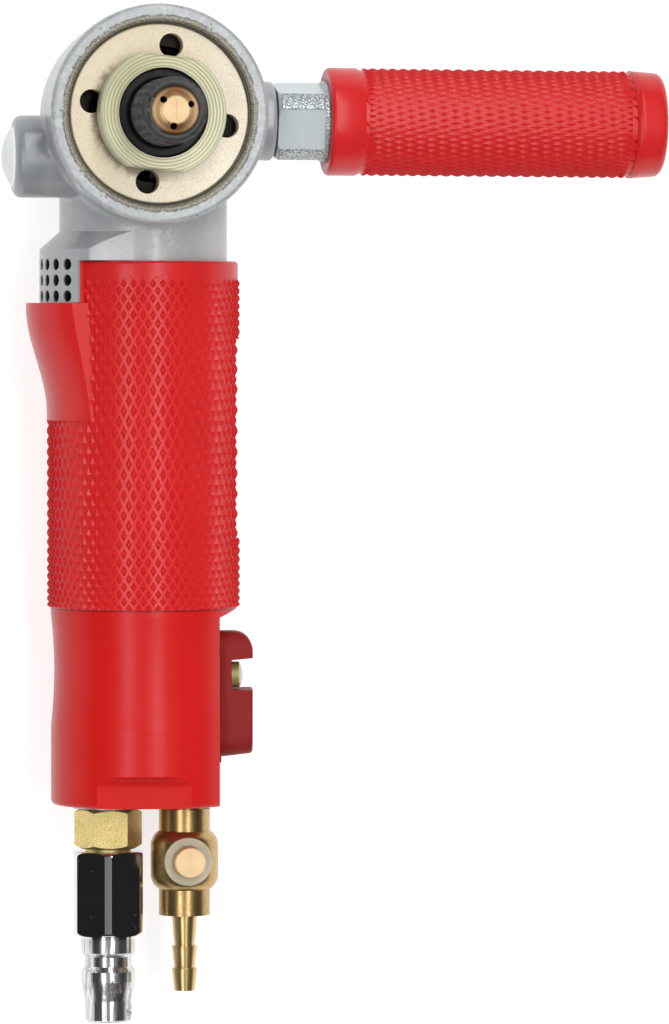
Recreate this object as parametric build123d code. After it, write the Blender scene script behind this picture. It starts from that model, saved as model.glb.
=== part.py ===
from build123d import *
import os
from math import acos, atan2, cos, degrees, pi, radians, sin, sqrt, tan

# A pneumatic wet polisher: a vane motor in the handle turns the spindle through bevel gears,
# and water reaches the pad through the spindle's bore.
# Millimetres. The spindle runs along +Z, the handle along -Y and the side handle along +X.
# The origin is on the spindle's axis, on the flange face that a polishing pad seats against.

# Fits, each per side
seat_gap = 0.02
running_gap = 0.06
ball_gap = 0.04
gear_backlash = 0.24

# Spindle, flange and nozzle
thread_diameter = 15.875
thread_length = 20.0
thread_chamfer = 1.2
thread_relief_diameter = 14.2
flange_diameter = 30.0
flange_across_flats = 27.0
flange_thickness = 7.5
flange_turn = -7.0
flange_recess_diameter = 21.3
flange_recess_depth = 5.0
flange_seal_bore = 16.3
flange_seal_drop = 2.2
flange_seal_round = 0.7
flange_chamfer = 0.5
nozzle_diameter = 11.1
nozzle_stem = 6.0
nozzle_cone_height = 2.2
nozzle_crown = 0.35
nozzle_flat_diameter = 5.7
nozzle_hole_diameter = 1.6
nozzle_hole_circle = 7.6
nozzle_hole_count = 3
nozzle_hole_turn = 21.0
water_bore = 5.0
spindle_setback = 0.2
hex_chamfer = 1.0

# Head of the gear housing
axis_depth = 38.0
head_diameter = 52.0
head_step = 0.6
collar_height = 7.0
head_edge = 1.0
rim_chamfer = 0.9
rear_joint_gap = 2.5
head_back_diameter = 40.0
head_flank = 0.45
head_shoulder = 0.15
head_blend = 2.5

# Bearing retainer
retainer_diameter = 43.0
retainer_thickness = 5.0
retainer_recess = 2.0
retainer_bore = 19.0
retainer_chamfer = 0.5
flange_clearance = 0.5
spanner_hole_diameter = 5.7
spanner_hole_circle = 32.8
spanner_hole_count = 4
spanner_hole_turn = -10.0
seal_thickness = 3.4
seal_diameter = 25.0

# Ball bearings of the spindle
front_bearing_bore = 17.0
front_bearing_outer = 40.0
front_bearing_width = 12.0
front_bearing_ball = 6.75
front_bearing_balls = 8
rear_bearing_bore = 12.0
rear_bearing_outer = 28.0
rear_bearing_width = 8.0
rear_bearing_ball = 4.76
rear_bearing_balls = 8
rear_bearing_gap = 0.08
rear_lip = 1.5
race_lip = 0.3

# Bevel gears
gear_module = 1.25
gear_teeth = 30
pinion_teeth = 12
gear_face = 6.2
pressure_angle = 25.0
gear_addendum = 0.9
pinion_addendum = 1.45
root_clearance = 0.3
pinion_extra_thickness = 0.2
tooth_sink = 0.3
flank_steps = 4
gear_seat_diameter = 15.0
gear_nut_diameter = 18.0
gear_nut_height = 3.6
gear_nut_thread = 13.0
pinion_bore = 6.0
pinion_room = 0.6

# Rear cover and its water elbow
cover_diameter = 39.4
cover_edge = 0.8
cover_screw_circle = 32.6
cover_screw_count = 4
cover_screw_turn = 45.0
cover_screw_diameter = 3.0
cover_screw_head = 5.0
cover_screw_head_height = 2.6
cover_screw_length = 9.0
cover_screw_socket = 2.0
cover_screw_socket_depth = 1.6
cover_screw_sink = 0.4
gasket_thickness = 0.5
tongue_width = 12.0
tongue_rise = 0.8
elbow_diameter = 10.0
elbow_stub_diameter = 4.4
elbow_stub_height = 5.0
elbow_bore = 2.6
feed_seal_diameter = 7.0
feed_seal_height = 3.0

# Side handle and the bosses
side_boss_diameter = 19.0
side_boss_reach = 30.3
side_boss_y = -0.9
side_boss_edge = 1.0
side_axis_depth = 30.0
side_turn = -0.34
socket_diameter = 10.0
socket_depth = 8.0
stud_diameter = 19.6
stud_across_flats = 16.4
stud_flats_turn = 16.0
stud_flats_length = 11.4
stud_chamfer = 0.8
stud_gap = 0.4
stud_collar_length = 2.6
stud_core_diameter = 10.0
stud_core_length = 66.0
grip_length = 82.3
grip_lap = 1.6
grip_diameter = 26.0
grip_band = 8.2
grip_groove_width = 1.0
grip_groove_depth = 0.5
grip_cap = 7.8
grip_cap_groove = 1.4
grip_cap_diameter = 26.1
grip_end_diameter = 25.0
grip_edge = 1.0
grip_end_round = 2.0
left_boss_diameter = 19.7
left_boss_reach = 32.6
left_boss_y = -9.8
left_boss_edge = 2.2
boss_blend = 1.2
cap_diameter = 14.6
cap_height = 2.6
cap_stem_length = 6.0

# Neck, motor tube and exhaust grille
tube_diameter = 40.4
tube_wall = 5.0
grille_height = 4.8
grille_edge = 0.9
grille_side = 19.6
grille_start = 27.7
grille_slope = 4.2
grille_end = 47.5
grille_wall = 1.6
grille_side_gap = 0.15
grille_columns = 8
grille_pitch_angle = 10.3
grille_rows = 3
grille_first_row = 35.6
grille_row_pitch = 3.8
grille_hole_diameter = 2.8
exhaust_half_angle = 39.5
exhaust_start = 34.6

# Vane motor
motor_start = 27.0
front_plate_length = 10.0
cylinder_length = 52.0
rear_plate_length = 10.0
cylinder_wall = 2.4
cylinder_offset = 1.0
rotor_side_gap = 0.15
rotor_end_gap = 0.15
vane_count = 5
vane_thickness = 2.2
vane_depth = 5.6
vane_gap = 0.1
cylinder_port_width = 8.0
cylinder_port_length = 2.2
cylinder_port_pitch = 4.0
cylinder_ports = 2
plate_port_diameter = 2.6
plate_ports = 3
plate_port_pitch_angle = 25.0
shaft_clearance = 0.3
rotor_front_bore = 10.0
front_plate_wall = 2.2
rotor_front_width = 8.0
rotor_front_ball = 4.76
rotor_front_balls = 7
rotor_rear_bore = 8.0
rear_plate_wall = 4.2
rotor_rear_width = 7.0
rotor_rear_ball = 3.97
rotor_rear_balls = 7

# Grip sleeve
sleeve_start = 34.8
sleeve_end = 118.2
sleeve_wall = 3.1
sleeve_edge = 0.8
sleeve_band = 4.4
sleeve_band_drop = 0.4
sleeve_foot = 1.1
pyramid_columns = 29
pyramid_row = 4.1
pyramid_height = 0.85
sleeve_cut_half_angle = 44.5
sleeve_pocket_half_angle = 42.0
guard_start = 44.8
guard_end = 73.0
guard_height = 5.1
guard_half_angle = 44.5
guard_end_half_angle = 52.0
guard_start_slope = 0.05
guard_end_slope = 0.16
panel_half_angle = 20.0
panel_start = 53.5
panel_end = 101.5
panel_depth = 1.5

# Inlet housing
inlet_length = 47.6
inlet_step = 0.9
inlet_edge = 1.2
side_flat_depth = 4.2
side_flat_start = 0.3
side_flat_runout = 1.8
inlet_turn = 7.0
waist_depth = 0.8
waist_start = 1.5
waist_length = 27.0
wrench_flat_depth = 3.05
wrench_flat_length = 4.8
spigot_ring = 1.6
chamber_depth = 3.0
spigot_wall = 1.2
spigot_neck = 16.0

# Throttle
throttle_place = 134.6
throttle_bush_diameter = 15.0
throttle_bush_reach = 15.0
throttle_bush_recess = 0.5
throttle_stem_diameter = 10.0
throttle_port = 6.0
stem_ring_section = 1.2
stem_ring_place = 12.0
stem_square = 5.6
lever_base_gap = 0.15
lever_height = 7.9
lever_above = 10.6
lever_below = 19.7
lever_width = 15.0
lever_corner = 4.5
lever_top_round = 4.6
lever_edge = 0.9
lever_slot_above = 3.8
lever_slot_below = 3.4
lever_slot_floor = 2.85
lever_slot_draft = 0.5
lever_end_draft = 0.9
throttle_screw_diameter = 4.0
throttle_screw_length = 10.0
throttle_screw_head = 6.3
throttle_screw_head_height = 1.8
throttle_screw_dome = 1.0
screw_slot_width = 0.9
leaf_thickness = 0.4
leaf_width = 4.0
leaf_eye = 13.0
leaf_reach = 21.2

# Air inlet
air_inlet_x = -8.6
air_passage = 8.0
nipple_across_flats = 14.2
nipple_turn = -4.6
nipple_hex_length = 9.8
nipple_thread = 13.0
nipple_thread_depth = 10.0
nipple_neck = 11.0
nipple_neck_length = 0.6
nipple_bore = 7.4
washer_thickness = 1.0
washer_diameter = 17.0
plug_across_flats = 16.7
plug_diameter = 18.4
plug_end_round = 1.2
plug_hex_length = 20.4
plug_collar_diameter = 13.1
plug_collar_length = 4.1
plug_slope = 1.0
plug_groove_diameter = 11.3
plug_groove_length = 2.3
plug_bead_slope = 1.3
plug_bead_length = 2.4
plug_taper_length = 4.6
plug_nose_diameter = 11.3
plug_nose_length = 5.2
plug_nose_edge = 0.5
plug_bore = 7.4
plug_socket_depth = 9.0

# Water valve and hose barb
water_inlet_x = 9.85
valve_gap = 1.2
valve_neck_diameter = 12.4
valve_neck_length = 5.3
valve_body_diameter = 16.4
valve_body_length = 14.2
valve_shoulder = 3.6
valve_tail_length = 6.2
valve_thread = 10.0
valve_thread_depth = 9.0
valve_port = 3.0
spool_diameter = 7.6
spool_land_diameter = 8.4
spool_stroke = 3.4
spool_waist_diameter = 5.0
spool_waist_length = 2.8
spool_collar = 1.4
spool_edge = 0.35
valve_bush_diameter = 11.6
valve_bush_face = 7.3
valve_bush_thickness = 2.2
spool_ring_section = 0.8
barb_thread = 8.0
barb_thread_depth = 5.0
barb_crest = 6.2
barb_valley = 5.0
barb_first = 7.5
barb_pitch = 5.45
barb_count = 3
barb_bore = 3.4

# Water tube
water_tube_diameter = 4.0
water_tube_bore = 2.6
water_tube_lap = 7.0
water_passage = 3.0
water_turn_place = 153.0

# Diameters that follow the motor tube
motor_bore = tube_diameter - 2 * tube_wall
cylinder_bore = motor_bore - 2 * cylinder_wall
rotor_front_outer = motor_bore - 2 * front_plate_wall
rotor_rear_outer = motor_bore - 2 * rear_plate_wall
rotor_diameter = cylinder_bore - 2 * cylinder_offset - 2 * rotor_side_gap
grille_diameter = tube_diameter + 2 * grille_height
sleeve_diameter = tube_diameter + 2 * sleeve_wall
guard_diameter = sleeve_diameter + 2 * guard_height
inlet_diameter = sleeve_diameter - 2 * inlet_step
inlet_side_flat = inlet_diameter / 2 - side_flat_depth
wrench_flats = inlet_diameter - 2 * wrench_flat_depth
chamber_diameter = motor_bore - 2 * spigot_wall

# Places along the spindle
water_tube_offset = (tube_diameter - water_tube_diameter) / 2 - running_gap
tube_height = -axis_depth - water_tube_offset
elbow_half = water_tube_diameter / 2 + running_gap
rear_bearing_bottom = tube_height + elbow_half + rear_bearing_gap
rear_bearing_depth = -rear_bearing_bottom - rear_bearing_width
rear_joint = rear_bearing_bottom - rear_joint_gap
flange_back = -flange_thickness
retainer_top = flange_back - flange_clearance
rim_top = retainer_top + retainer_recess
retainer_bottom = retainer_top - retainer_thickness
front_bearing_bottom = retainer_bottom - front_bearing_width
cover_top = rear_joint - gasket_thickness
head_back = -axis_depth - sleeve_diameter / 2
spindle_end = rear_bearing_bottom + spindle_setback

# Places along the handle, measured from the spindle's axis
cylinder_start = motor_start + front_plate_length
cylinder_end = cylinder_start + cylinder_length
motor_end = cylinder_end + rear_plate_length
inlet_end = sleeve_end + inlet_length
nipple_start = inlet_end + washer_thickness
plug_start = nipple_start + nipple_hex_length + nipple_neck_length
valve_start = inlet_end + valve_gap

# Bevel gear geometry
gear_pitch_radius = gear_module * gear_teeth / 2
pinion_pitch_radius = gear_module * pinion_teeth / 2
pinion_cone = atan2(pinion_pitch_radius, gear_pitch_radius)
gear_cone = pi / 2 - pinion_cone
cone_distance = sqrt(gear_pitch_radius ** 2 + pinion_pitch_radius ** 2)
small_end = 1 - gear_face / cone_distance
tooth_thickness = pi * gear_module / 2
gear_dedendum = pinion_addendum + root_clearance
pinion_dedendum = gear_addendum + root_clearance

# Frames: the handle's own Z runs down the handle and its Y faces forward, along the spindle
handle_frame = Plane(origin=(0, 0, -axis_depth), x_dir=(1, 0, 0), z_dir=(0, -1, 0))
inlet_frame = handle_frame * Rot(0, 0, inlet_turn)
throttle_frame = inlet_frame * Pos(0, 0, throttle_place) * Rot(0, 90, 0)
side_plane = Plane(origin=(0, side_boss_y, -side_axis_depth), x_dir=(0, 1, 0), z_dir=(1, 0, 0))
side_frame = side_plane * Rot(0, side_turn, 0)
left_frame = Plane(origin=(0, left_boss_y, -side_axis_depth), x_dir=(0, -1, 0), z_dir=(-1, 0, 0))

# The water valve is screwed in so that its spool runs along the spindle
valve_x = water_inlet_x * cos(radians(inlet_turn))
valve_y = water_inlet_x * sin(radians(inlet_turn))
valve_frame = handle_frame * Pos(valve_x, valve_y, valve_start)
spool_centre = valve_neck_length + valve_body_length / 2
spool_frame = valve_frame * Pos(0, 0, spool_centre) * Rot(-90, 0, 0)

parts = {}


def disc(diameter, low, high):
    """A round bar along Z."""
    middle = (Align.CENTER, Align.CENTER, Align.MIN)
    return Pos(0, 0, low) * Cylinder(diameter / 2, high - low, align=middle)


def ring(outer, inner, low, high):
    """A plain ring round Z."""
    return disc(outer, low, high) - disc(inner, low, high)


def turned(*outline):
    """A solid of revolution round Z, from (radius, height) corners."""
    return revolve(Plane.XZ * make_face(Polyline(*outline, close=True)), Axis.Z)


def sector(outline, middle, half_angle):
    """Part of a solid of revolution round Z, centred on the angle middle."""
    face = Plane.XZ * make_face(Polyline(*outline, close=True))
    return Rot(0, 0, middle - half_angle) * revolve(face, Axis.Z, 2 * half_angle)


def ring_sector(inner, outer, low, high, middle, half_angle):
    """A block bent round Z, between two radii."""
    return sector([(inner, low), (outer, low), (outer, high), (inner, high)], middle, half_angle)


def hexagon(across_flats, low, high, turn, end_chamfer):
    """A hexagon bar along Z with its corners turned down at both ends."""
    bar = Pos(0, 0, low) * extrude(RegularPolygon(across_flats / 2, 6, False, turn), high - low)
    corner = across_flats / sqrt(3)
    inside = corner - end_chamfer * sqrt(3)
    turning = turned(
        (0, low), (inside, low), (corner, low + end_chamfer),
        (corner, high - end_chamfer), (inside, high), (0, high),
    )
    return bar & turning


def around(shape, count, turn=0.0):
    """Copies of a shape, evenly spaced round Z."""
    return [Rot(0, 0, turn + 360 / count * index) * shape for index in range(count)]


def o_ring(inner, section, height):
    """A round-section ring round Z, centred on a height."""
    return Pos(0, 0, height) * Torus(inner / 2 + section / 2, section / 2)


def group(shapes):
    """Several solids that share one node."""
    return Compound(children=[shape.solid() for shape in shapes])


def ball_bearing(name, frame, bore, outer, width, ball, balls, low):
    """A deep-groove bearing: two races and their balls."""
    pitch = (bore + outer) / 4
    middle = low + width / 2
    track = Pos(0, 0, middle) * Torus(pitch, ball / 2 + ball_gap)
    shoulder = ball * race_lip
    outer_race = ring(outer, 2 * (pitch + shoulder), low, low + width) - track
    inner_race = ring(2 * (pitch - shoulder), bore, low, low + width) - track
    parts[name + "_outer_race"] = frame * outer_race
    parts[name + "_inner_race"] = frame * inner_race
    parts[name + "_balls"] = frame * group(around(Pos(pitch, 0, middle) * Sphere(ball / 2), balls))


def tooth_profile(teeth, cone, addendum, dedendum, thickness):
    """One tooth's outline on the back cone, laid flat: across, and out from the pitch line."""
    pitch = gear_module * teeth / 2 / cos(cone)
    pressure = radians(pressure_angle)
    base = pitch * cos(pressure)
    tip = pitch + addendum
    start = max(pitch - dedendum, base)
    radii = [start + (tip - start) * step / flank_steps for step in range(flank_steps + 1)]

    def half_angle(radius):
        angle = acos(base / radius)
        return thickness / 2 / pitch + tan(pressure) - pressure - tan(angle) + angle

    sunk = pitch - dedendum - tooth_sink
    side = [(sunk * sin(half_angle(start)), sunk * cos(half_angle(start)) - pitch)]
    side += [(r * sin(half_angle(r)), r * cos(half_angle(r)) - pitch) for r in radii]
    return side + [(-across, out) for across, out in reversed(side)]


def bevel_teeth(teeth, cone, addendum, dedendum, thickness):
    """Straight bevel teeth round Z, with the pitch cone's apex at the origin."""
    flat = tooth_profile(teeth, cone, addendum, dedendum, thickness)
    pitch = Vector(cone_distance * sin(cone), 0, cone_distance * cos(cone))
    outward = Vector(cos(cone), 0, -sin(cone))
    large = [pitch + Vector(0, across, 0) + outward * out for across, out in flat]
    small = [point * small_end for point in large]
    tooth = Solid.make_loft([Wire.make_polygon(large), Wire.make_polygon(small)], ruled=True)
    return around(tooth, teeth)


def bevel_blank(cone, dedendum, bore, back):
    """The body under the teeth, from its bore to its back face."""
    root = cone_distance * sin(cone) - dedendum * cos(cone)
    height = cone_distance * cos(cone) + dedendum * sin(cone)
    return turned(
        (bore / 2, small_end * height), (small_end * root, small_end * height),
        (root, height), (root, back), (bore / 2, back),
    )


def make_spindle():
    """Spindle with its thread, flange, seal ring and water nozzle."""
    tip = thread_diameter / 2 - thread_chamfer
    thread = turned(
        (0, 0), (thread_diameter / 2, 0), (thread_diameter / 2, thread_length - thread_chamfer),
        (tip, thread_length), (0, thread_length),
    )
    gear_low = small_end * (pinion_pitch_radius + gear_dedendum * sin(gear_cone)) - axis_depth
    nut_low = gear_low - gear_nut_height
    shaft = thread + disc(thread_relief_diameter, -flange_recess_depth, 0)
    shaft += disc(front_bearing_bore, front_bearing_bottom, -flange_recess_depth)
    shaft += disc(gear_seat_diameter, gear_low, front_bearing_bottom)
    shaft += disc(gear_nut_thread, -rear_bearing_depth, gear_low)
    shaft += disc(rear_bearing_bore, spindle_end, -rear_bearing_depth)
    shaft -= disc(water_bore, spindle_end, thread_length)
    shaft -= disc(nozzle_diameter + 2 * seat_gap, thread_length - nozzle_stem, thread_length)
    seal_bore = feed_seal_diameter + 2 * running_gap
    shaft -= disc(seal_bore, spindle_end, spindle_end + feed_seal_height + shaft_clearance)
    parts["spindle"] = shaft

    blank = disc(flange_diameter, flange_back, 0)
    blank &= Rot(0, 0, flange_turn) * Box(2 * flange_diameter, flange_across_flats, 4 * flange_thickness)
    blank -= disc(flange_recess_diameter, -flange_recess_depth, 0)
    blank -= disc(front_bearing_bore + 2 * seat_gap, flange_back, 0)
    parts["spindle_flange"] = chamfer(blank.faces().sort_by(Axis.Z)[-1].outer_wire().edges(), flange_chamfer)

    seal_outer = flange_recess_diameter - 2 * seat_gap
    seal = ring(seal_outer, flange_seal_bore, -flange_recess_depth, -flange_seal_drop)
    parts["flange_seal"] = fillet(seal.faces().sort_by(Axis.Z)[-1].edges(), flange_seal_round)

    cone_top = thread_length + nozzle_cone_height
    rim = nozzle_diameter / 2
    flat = nozzle_flat_diameter / 2
    crown = ((rim + flat) / 2 + nozzle_crown, thread_length + nozzle_cone_height / 2 + nozzle_crown)
    outline = ThreePointArc((rim, thread_length), crown, (flat, cone_top))
    outline += Polyline(
        (flat, cone_top), (0, cone_top), (0, thread_length - nozzle_stem),
        (rim, thread_length - nozzle_stem), (rim, thread_length))
    nozzle = revolve(Plane.XZ * make_face(outline), Axis.Z)
    jet = Pos(nozzle_hole_circle / 2, 0, 0) * disc(nozzle_hole_diameter, 0, cone_top)
    for hole in around(jet, nozzle_hole_count, nozzle_hole_turn):
        nozzle -= hole
    parts["water_nozzle"] = nozzle

    apex = Pos(0, 0, -axis_depth)
    gear_tooth = tooth_thickness - gear_backlash - pinion_extra_thickness
    gear_back = axis_depth + front_bearing_bottom
    gear = bevel_blank(gear_cone, gear_dedendum, gear_seat_diameter + 2 * seat_gap, gear_back)
    gear += bevel_teeth(gear_teeth, gear_cone, gear_addendum, gear_dedendum, gear_tooth)
    parts["bevel_gear"] = apex * gear
    parts["gear_nut"] = ring(gear_nut_diameter, gear_nut_thread + 2 * seat_gap, nut_low, gear_low)


def make_gear_housing():
    """Casting with the head, the bosses, the neck, the exhaust grille and the motor tube."""
    head_radius = head_diameter / 2
    body_radius = head_radius - head_step
    back_radius = head_back_diameter / 2
    collar = rim_top - collar_height
    below = head_back - head_diameter
    body_top = collar - head_step
    body_height = body_top - rear_joint
    flank = Bezier(
        (body_radius, body_top), (body_radius, body_top - head_flank * body_height),
        (body_radius, rear_joint + head_shoulder * body_height), (back_radius, rear_joint))
    outline = flank + Polyline(
        (back_radius, rear_joint), (back_radius, below), (0, below), (0, rim_top), (head_radius, rim_top),
        (head_radius, collar), (body_radius, body_top))
    head = revolve(Plane.XZ * make_face(outline), Axis.Z)
    head = fillet(head.edges().sort_by(Axis.Z)[-1], head_edge)
    tube = handle_frame * disc(tube_diameter, 0, sleeve_end)
    joined = head + tube
    body = fillet(new_edges(head, tube, combined=joined), head_blend)
    body -= disc(head_diameter + 2 * head_blend, below, rear_joint)

    grille_radius = grille_diameter / 2
    under = tube_diameter / 2 - grille_wall
    shown_end = sleeve_start - grille_side_gap
    grille = sector(
        [(under, grille_start), (tube_diameter / 2, grille_start),
         (grille_radius, grille_start + grille_slope), (grille_radius, shown_end), (under, shown_end)],
        180, 90)
    grille &= Box(2 * grille_diameter, 2 * grille_side, 2 * shown_end)
    upright = grille.edges().filter_by(Axis.Z)
    corners = [edge for edge in upright if abs(edge.center().Y) > grille_side - seat_gap]
    body += handle_frame * fillet(corners, grille_edge)
    side_gap_angle = degrees(grille_side_gap / grille_radius)
    covered = [(guard_start - grille_side_gap, sleeve_cut_half_angle), (grille_end, sleeve_pocket_half_angle)]
    for covered_end, half_angle in covered:
        body += handle_frame * ring_sector(
            under, grille_radius, grille_start + grille_slope, covered_end, 180, half_angle - side_gap_angle)
    right_boss = disc(side_boss_diameter, 0, side_boss_reach)
    right_boss = side_frame * fillet(right_boss.edges().sort_by(Axis.Z)[-1], side_boss_edge)
    left_boss = disc(left_boss_diameter, 0, left_boss_reach)
    left_boss = left_frame * fillet(left_boss.edges().sort_by(Axis.Z)[-1], left_boss_edge)
    for boss in (right_boss, left_boss):
        joined = body + boss
        body = fillet(new_edges(body, boss, combined=joined), boss_blend)

    rim_radius = retainer_diameter / 2 + seat_gap
    body -= turned(
        (0, retainer_bottom), (rim_radius, retainer_bottom), (rim_radius, rim_top - rim_chamfer),
        (rim_radius + rim_chamfer, rim_top), (0, rim_top),
    )
    gear_room = -rear_bearing_depth + rear_lip
    body -= disc(front_bearing_outer + 2 * seat_gap, gear_room, retainer_bottom)
    body -= disc(rear_bearing_outer + 2 * seat_gap, rear_joint, -rear_bearing_depth)
    body -= disc(rear_bearing_outer - 2 * rear_lip, -rear_bearing_depth, gear_room)
    pinion_tip = pinion_pitch_radius + pinion_addendum * cos(pinion_cone)
    body -= handle_frame * disc(2 * (pinion_tip + pinion_room), gear_pitch_radius / 2, motor_start)
    body -= handle_frame * disc(motor_bore + 2 * seat_gap, motor_start, sleeve_end)

    exhaust = ring_sector(
        motor_bore / 2 - grille_wall, grille_radius - grille_wall,
        exhaust_start, grille_end - grille_wall, 180, exhaust_half_angle)
    body -= handle_frame * exhaust
    for row in range(grille_rows):
        hole = Pos(0, 0, grille_first_row + row * grille_row_pitch) * Rot(0, 90, 0)
        hole = hole * disc(grille_hole_diameter, motor_bore / 2, grille_diameter)
        for column in range(grille_columns):
            angle = 180 + (column - (grille_columns - 1) / 2) * grille_pitch_angle
            body -= handle_frame * (Rot(0, 0, angle) * hole)

    groove = water_tube_diameter + 2 * running_gap
    body -= handle_frame * (Pos(0, -water_tube_offset, 0) * disc(groove, 0, sleeve_end))
    open_side = Box(groove, head_diameter, sleeve_end, align=(Align.CENTER, Align.MAX, Align.MIN))
    body -= handle_frame * (Pos(0, -water_tube_offset, 0) * open_side)
    thread_end = rear_joint + cover_screw_length
    thread_hole = disc(cover_screw_diameter + 2 * seat_gap, rear_joint, thread_end)
    for hole in around(Pos(cover_screw_circle / 2, 0, 0) * thread_hole, cover_screw_count, cover_screw_turn):
        body -= hole
    body -= side_frame * disc(socket_diameter + 2 * seat_gap, side_boss_reach - socket_depth, side_boss_reach)
    body -= left_frame * disc(socket_diameter + 2 * seat_gap, left_boss_reach - socket_depth, left_boss_reach)
    parts["gear_housing"] = body

    cap_round = (cap_diameter ** 2 / 4 + cap_height ** 2) / (2 * cap_height)
    dome = Pos(0, 0, left_boss_reach + cap_height - cap_round) * Sphere(cap_round)
    dome &= disc(cap_diameter, left_boss_reach, left_boss_reach + 2 * cap_height)
    cap_stem = disc(socket_diameter, left_boss_reach - cap_stem_length, left_boss_reach)
    parts["boss_cap"] = left_frame * (dome + cap_stem)


def make_head_fittings():
    """Retainer with its lip seal, rear cover, gasket, screws and the water elbow."""
    plate = disc(retainer_diameter, retainer_bottom, retainer_top)
    retainer = chamfer(plate.edges().sort_by(Axis.Z)[-1], retainer_chamfer)
    retainer -= disc(retainer_bore, retainer_bottom, retainer_top)
    retainer -= disc(seal_diameter, retainer_bottom, retainer_bottom + seal_thickness)
    pin_hole = Pos(spanner_hole_circle / 2, 0, 0) * disc(spanner_hole_diameter, retainer_bottom, retainer_top)
    for hole in around(pin_hole, spanner_hole_count, spanner_hole_turn):
        retainer -= hole
    parts["bearing_retainer"] = retainer
    seal_bore = front_bearing_bore + 2 * running_gap
    parts["spindle_seal"] = ring(
        seal_diameter - 2 * seat_gap, seal_bore, retainer_bottom, retainer_bottom + seal_thickness)

    channel = disc(water_tube_diameter + 2 * seat_gap, 0, sleeve_start)
    channel = handle_frame * (Pos(0, -water_tube_offset, 0) * channel)
    elbow_room = disc(elbow_diameter + 2 * seat_gap, tube_height - elbow_half - seat_gap, rear_joint)
    cover = disc(cover_diameter, head_back, cover_top)
    cover = fillet(cover.edges().sort_by(Axis.Z)[0], cover_edge)
    tongue_end = sleeve_start - shaft_clearance
    tongue_low = head_back + tongue_rise
    tongue = Box(tongue_width, tongue_end, cover_top - tongue_low, align=(Align.CENTER, Align.MIN, Align.MIN))
    tongue = Pos(0, -tongue_end, tongue_low) * tongue
    tongue -= handle_frame * disc(tube_diameter + 2 * seat_gap, 0, sleeve_end)
    cover += tongue
    cover -= channel
    cover -= elbow_room
    gasket = ring(cover_diameter - 2 * cover_edge, rear_bearing_outer, cover_top, rear_joint)
    gasket -= channel
    shank = Pos(cover_screw_circle / 2, 0, 0)
    head_top = head_back + cover_screw_sink + cover_screw_head_height
    shank_hole = shank * disc(cover_screw_diameter + 2 * seat_gap, head_back, rear_joint)
    head_hole = shank * disc(cover_screw_head + 2 * seat_gap, head_back, head_top)
    for hole in around(shank_hole, cover_screw_count, cover_screw_turn):
        gasket -= hole
        cover -= hole
    for hole in around(head_hole, cover_screw_count, cover_screw_turn):
        cover -= hole
    parts["rear_cover"] = cover
    parts["cover_gasket"] = gasket
    screw = disc(cover_screw_diameter, head_top, rear_joint + cover_screw_length - seat_gap)
    screw += disc(cover_screw_head, head_back + cover_screw_sink, head_top)
    socket = RegularPolygon(cover_screw_socket / 2, 6, False)
    screw -= Pos(0, 0, head_back) * extrude(socket, cover_screw_sink + cover_screw_socket_depth)
    parts["cover_screws"] = group(around(shank * screw, cover_screw_count, cover_screw_turn))

    elbow = disc(elbow_diameter, tube_height - elbow_half, tube_height + elbow_half)
    stub_top = tube_height + elbow_half + elbow_stub_height
    elbow += disc(elbow_stub_diameter, tube_height, stub_top)
    elbow -= disc(elbow_bore, tube_height, stub_top)
    elbow -= handle_frame * (Pos(0, -water_tube_offset, 0) * disc(elbow_bore, 0, elbow_diameter))
    parts["water_elbow"] = elbow
    parts["feed_seal"] = ring(
        feed_seal_diameter, elbow_stub_diameter + 2 * seat_gap, spindle_end, spindle_end + feed_seal_height)
    tube_start = sqrt(elbow_diameter ** 2 - water_tube_diameter ** 2) / 2
    tube_end = sleeve_end + water_tube_lap
    tube = disc(water_tube_diameter, tube_start, tube_end) - disc(water_tube_bore, tube_start, tube_end)
    tube -= Pos(0, water_tube_offset, 0) * Rot(90, 0, 0) * disc(
        elbow_diameter + 2 * seat_gap, 0, 2 * water_tube_offset)
    parts["water_tube"] = handle_frame * (Pos(0, -water_tube_offset, 0) * tube)


def make_side_handle():
    """Stud with four spanner flats, screwed into the right boss, with its moulded grip."""
    bar_start = side_boss_reach + stud_gap
    flats_end = bar_start + stud_flats_length
    collar_end = flats_end + stud_collar_length
    bar_radius = stud_diameter / 2
    bar = turned(
        (0, bar_start), (bar_radius - stud_chamfer, bar_start), (bar_radius, bar_start + stud_chamfer),
        (bar_radius, flats_end), (0, flats_end),
    )
    square = Rot(0, 0, stud_flats_turn) * Rectangle(stud_across_flats, stud_across_flats)
    stud = bar & Pos(0, 0, bar_start) * extrude(square, stud_flats_length)
    stud += disc(socket_diameter, side_boss_reach - socket_depth + seat_gap, bar_start)
    stud += disc(stud_diameter, flats_end, collar_end)
    stud += disc(stud_core_diameter, flats_end, collar_end + stud_core_length)
    parts["side_handle_stud"] = side_frame * stud

    start = collar_end - grip_lap
    end = start + grip_length
    outside = grip_diameter / 2
    groove = outside - grip_groove_depth
    band_end = start + grip_band
    cap_start = end - grip_cap
    grip = turned(
        (0, start), (outside, start), (outside, band_end - grip_edge), (groove, band_end),
        (groove, band_end + grip_groove_width), (outside, band_end + grip_groove_width),
        (outside, cap_start - grip_cap_groove), (groove, cap_start - grip_cap_groove), (groove, cap_start),
        (grip_cap_diameter / 2, cap_start), (grip_end_diameter / 2, end), (0, end),
    )
    grip = fillet(grip.edges().sort_by(Axis.Z)[0], grip_edge)
    grip = fillet(grip.edges().sort_by(Axis.Z)[-1], grip_end_round)
    grip -= disc(stud_diameter + 2 * seat_gap, start, collar_end)
    grip -= disc(stud_core_diameter + 2 * seat_gap, collar_end, collar_end + stud_core_length + seat_gap)
    parts["side_handle_grip"] = side_frame * grip


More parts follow.
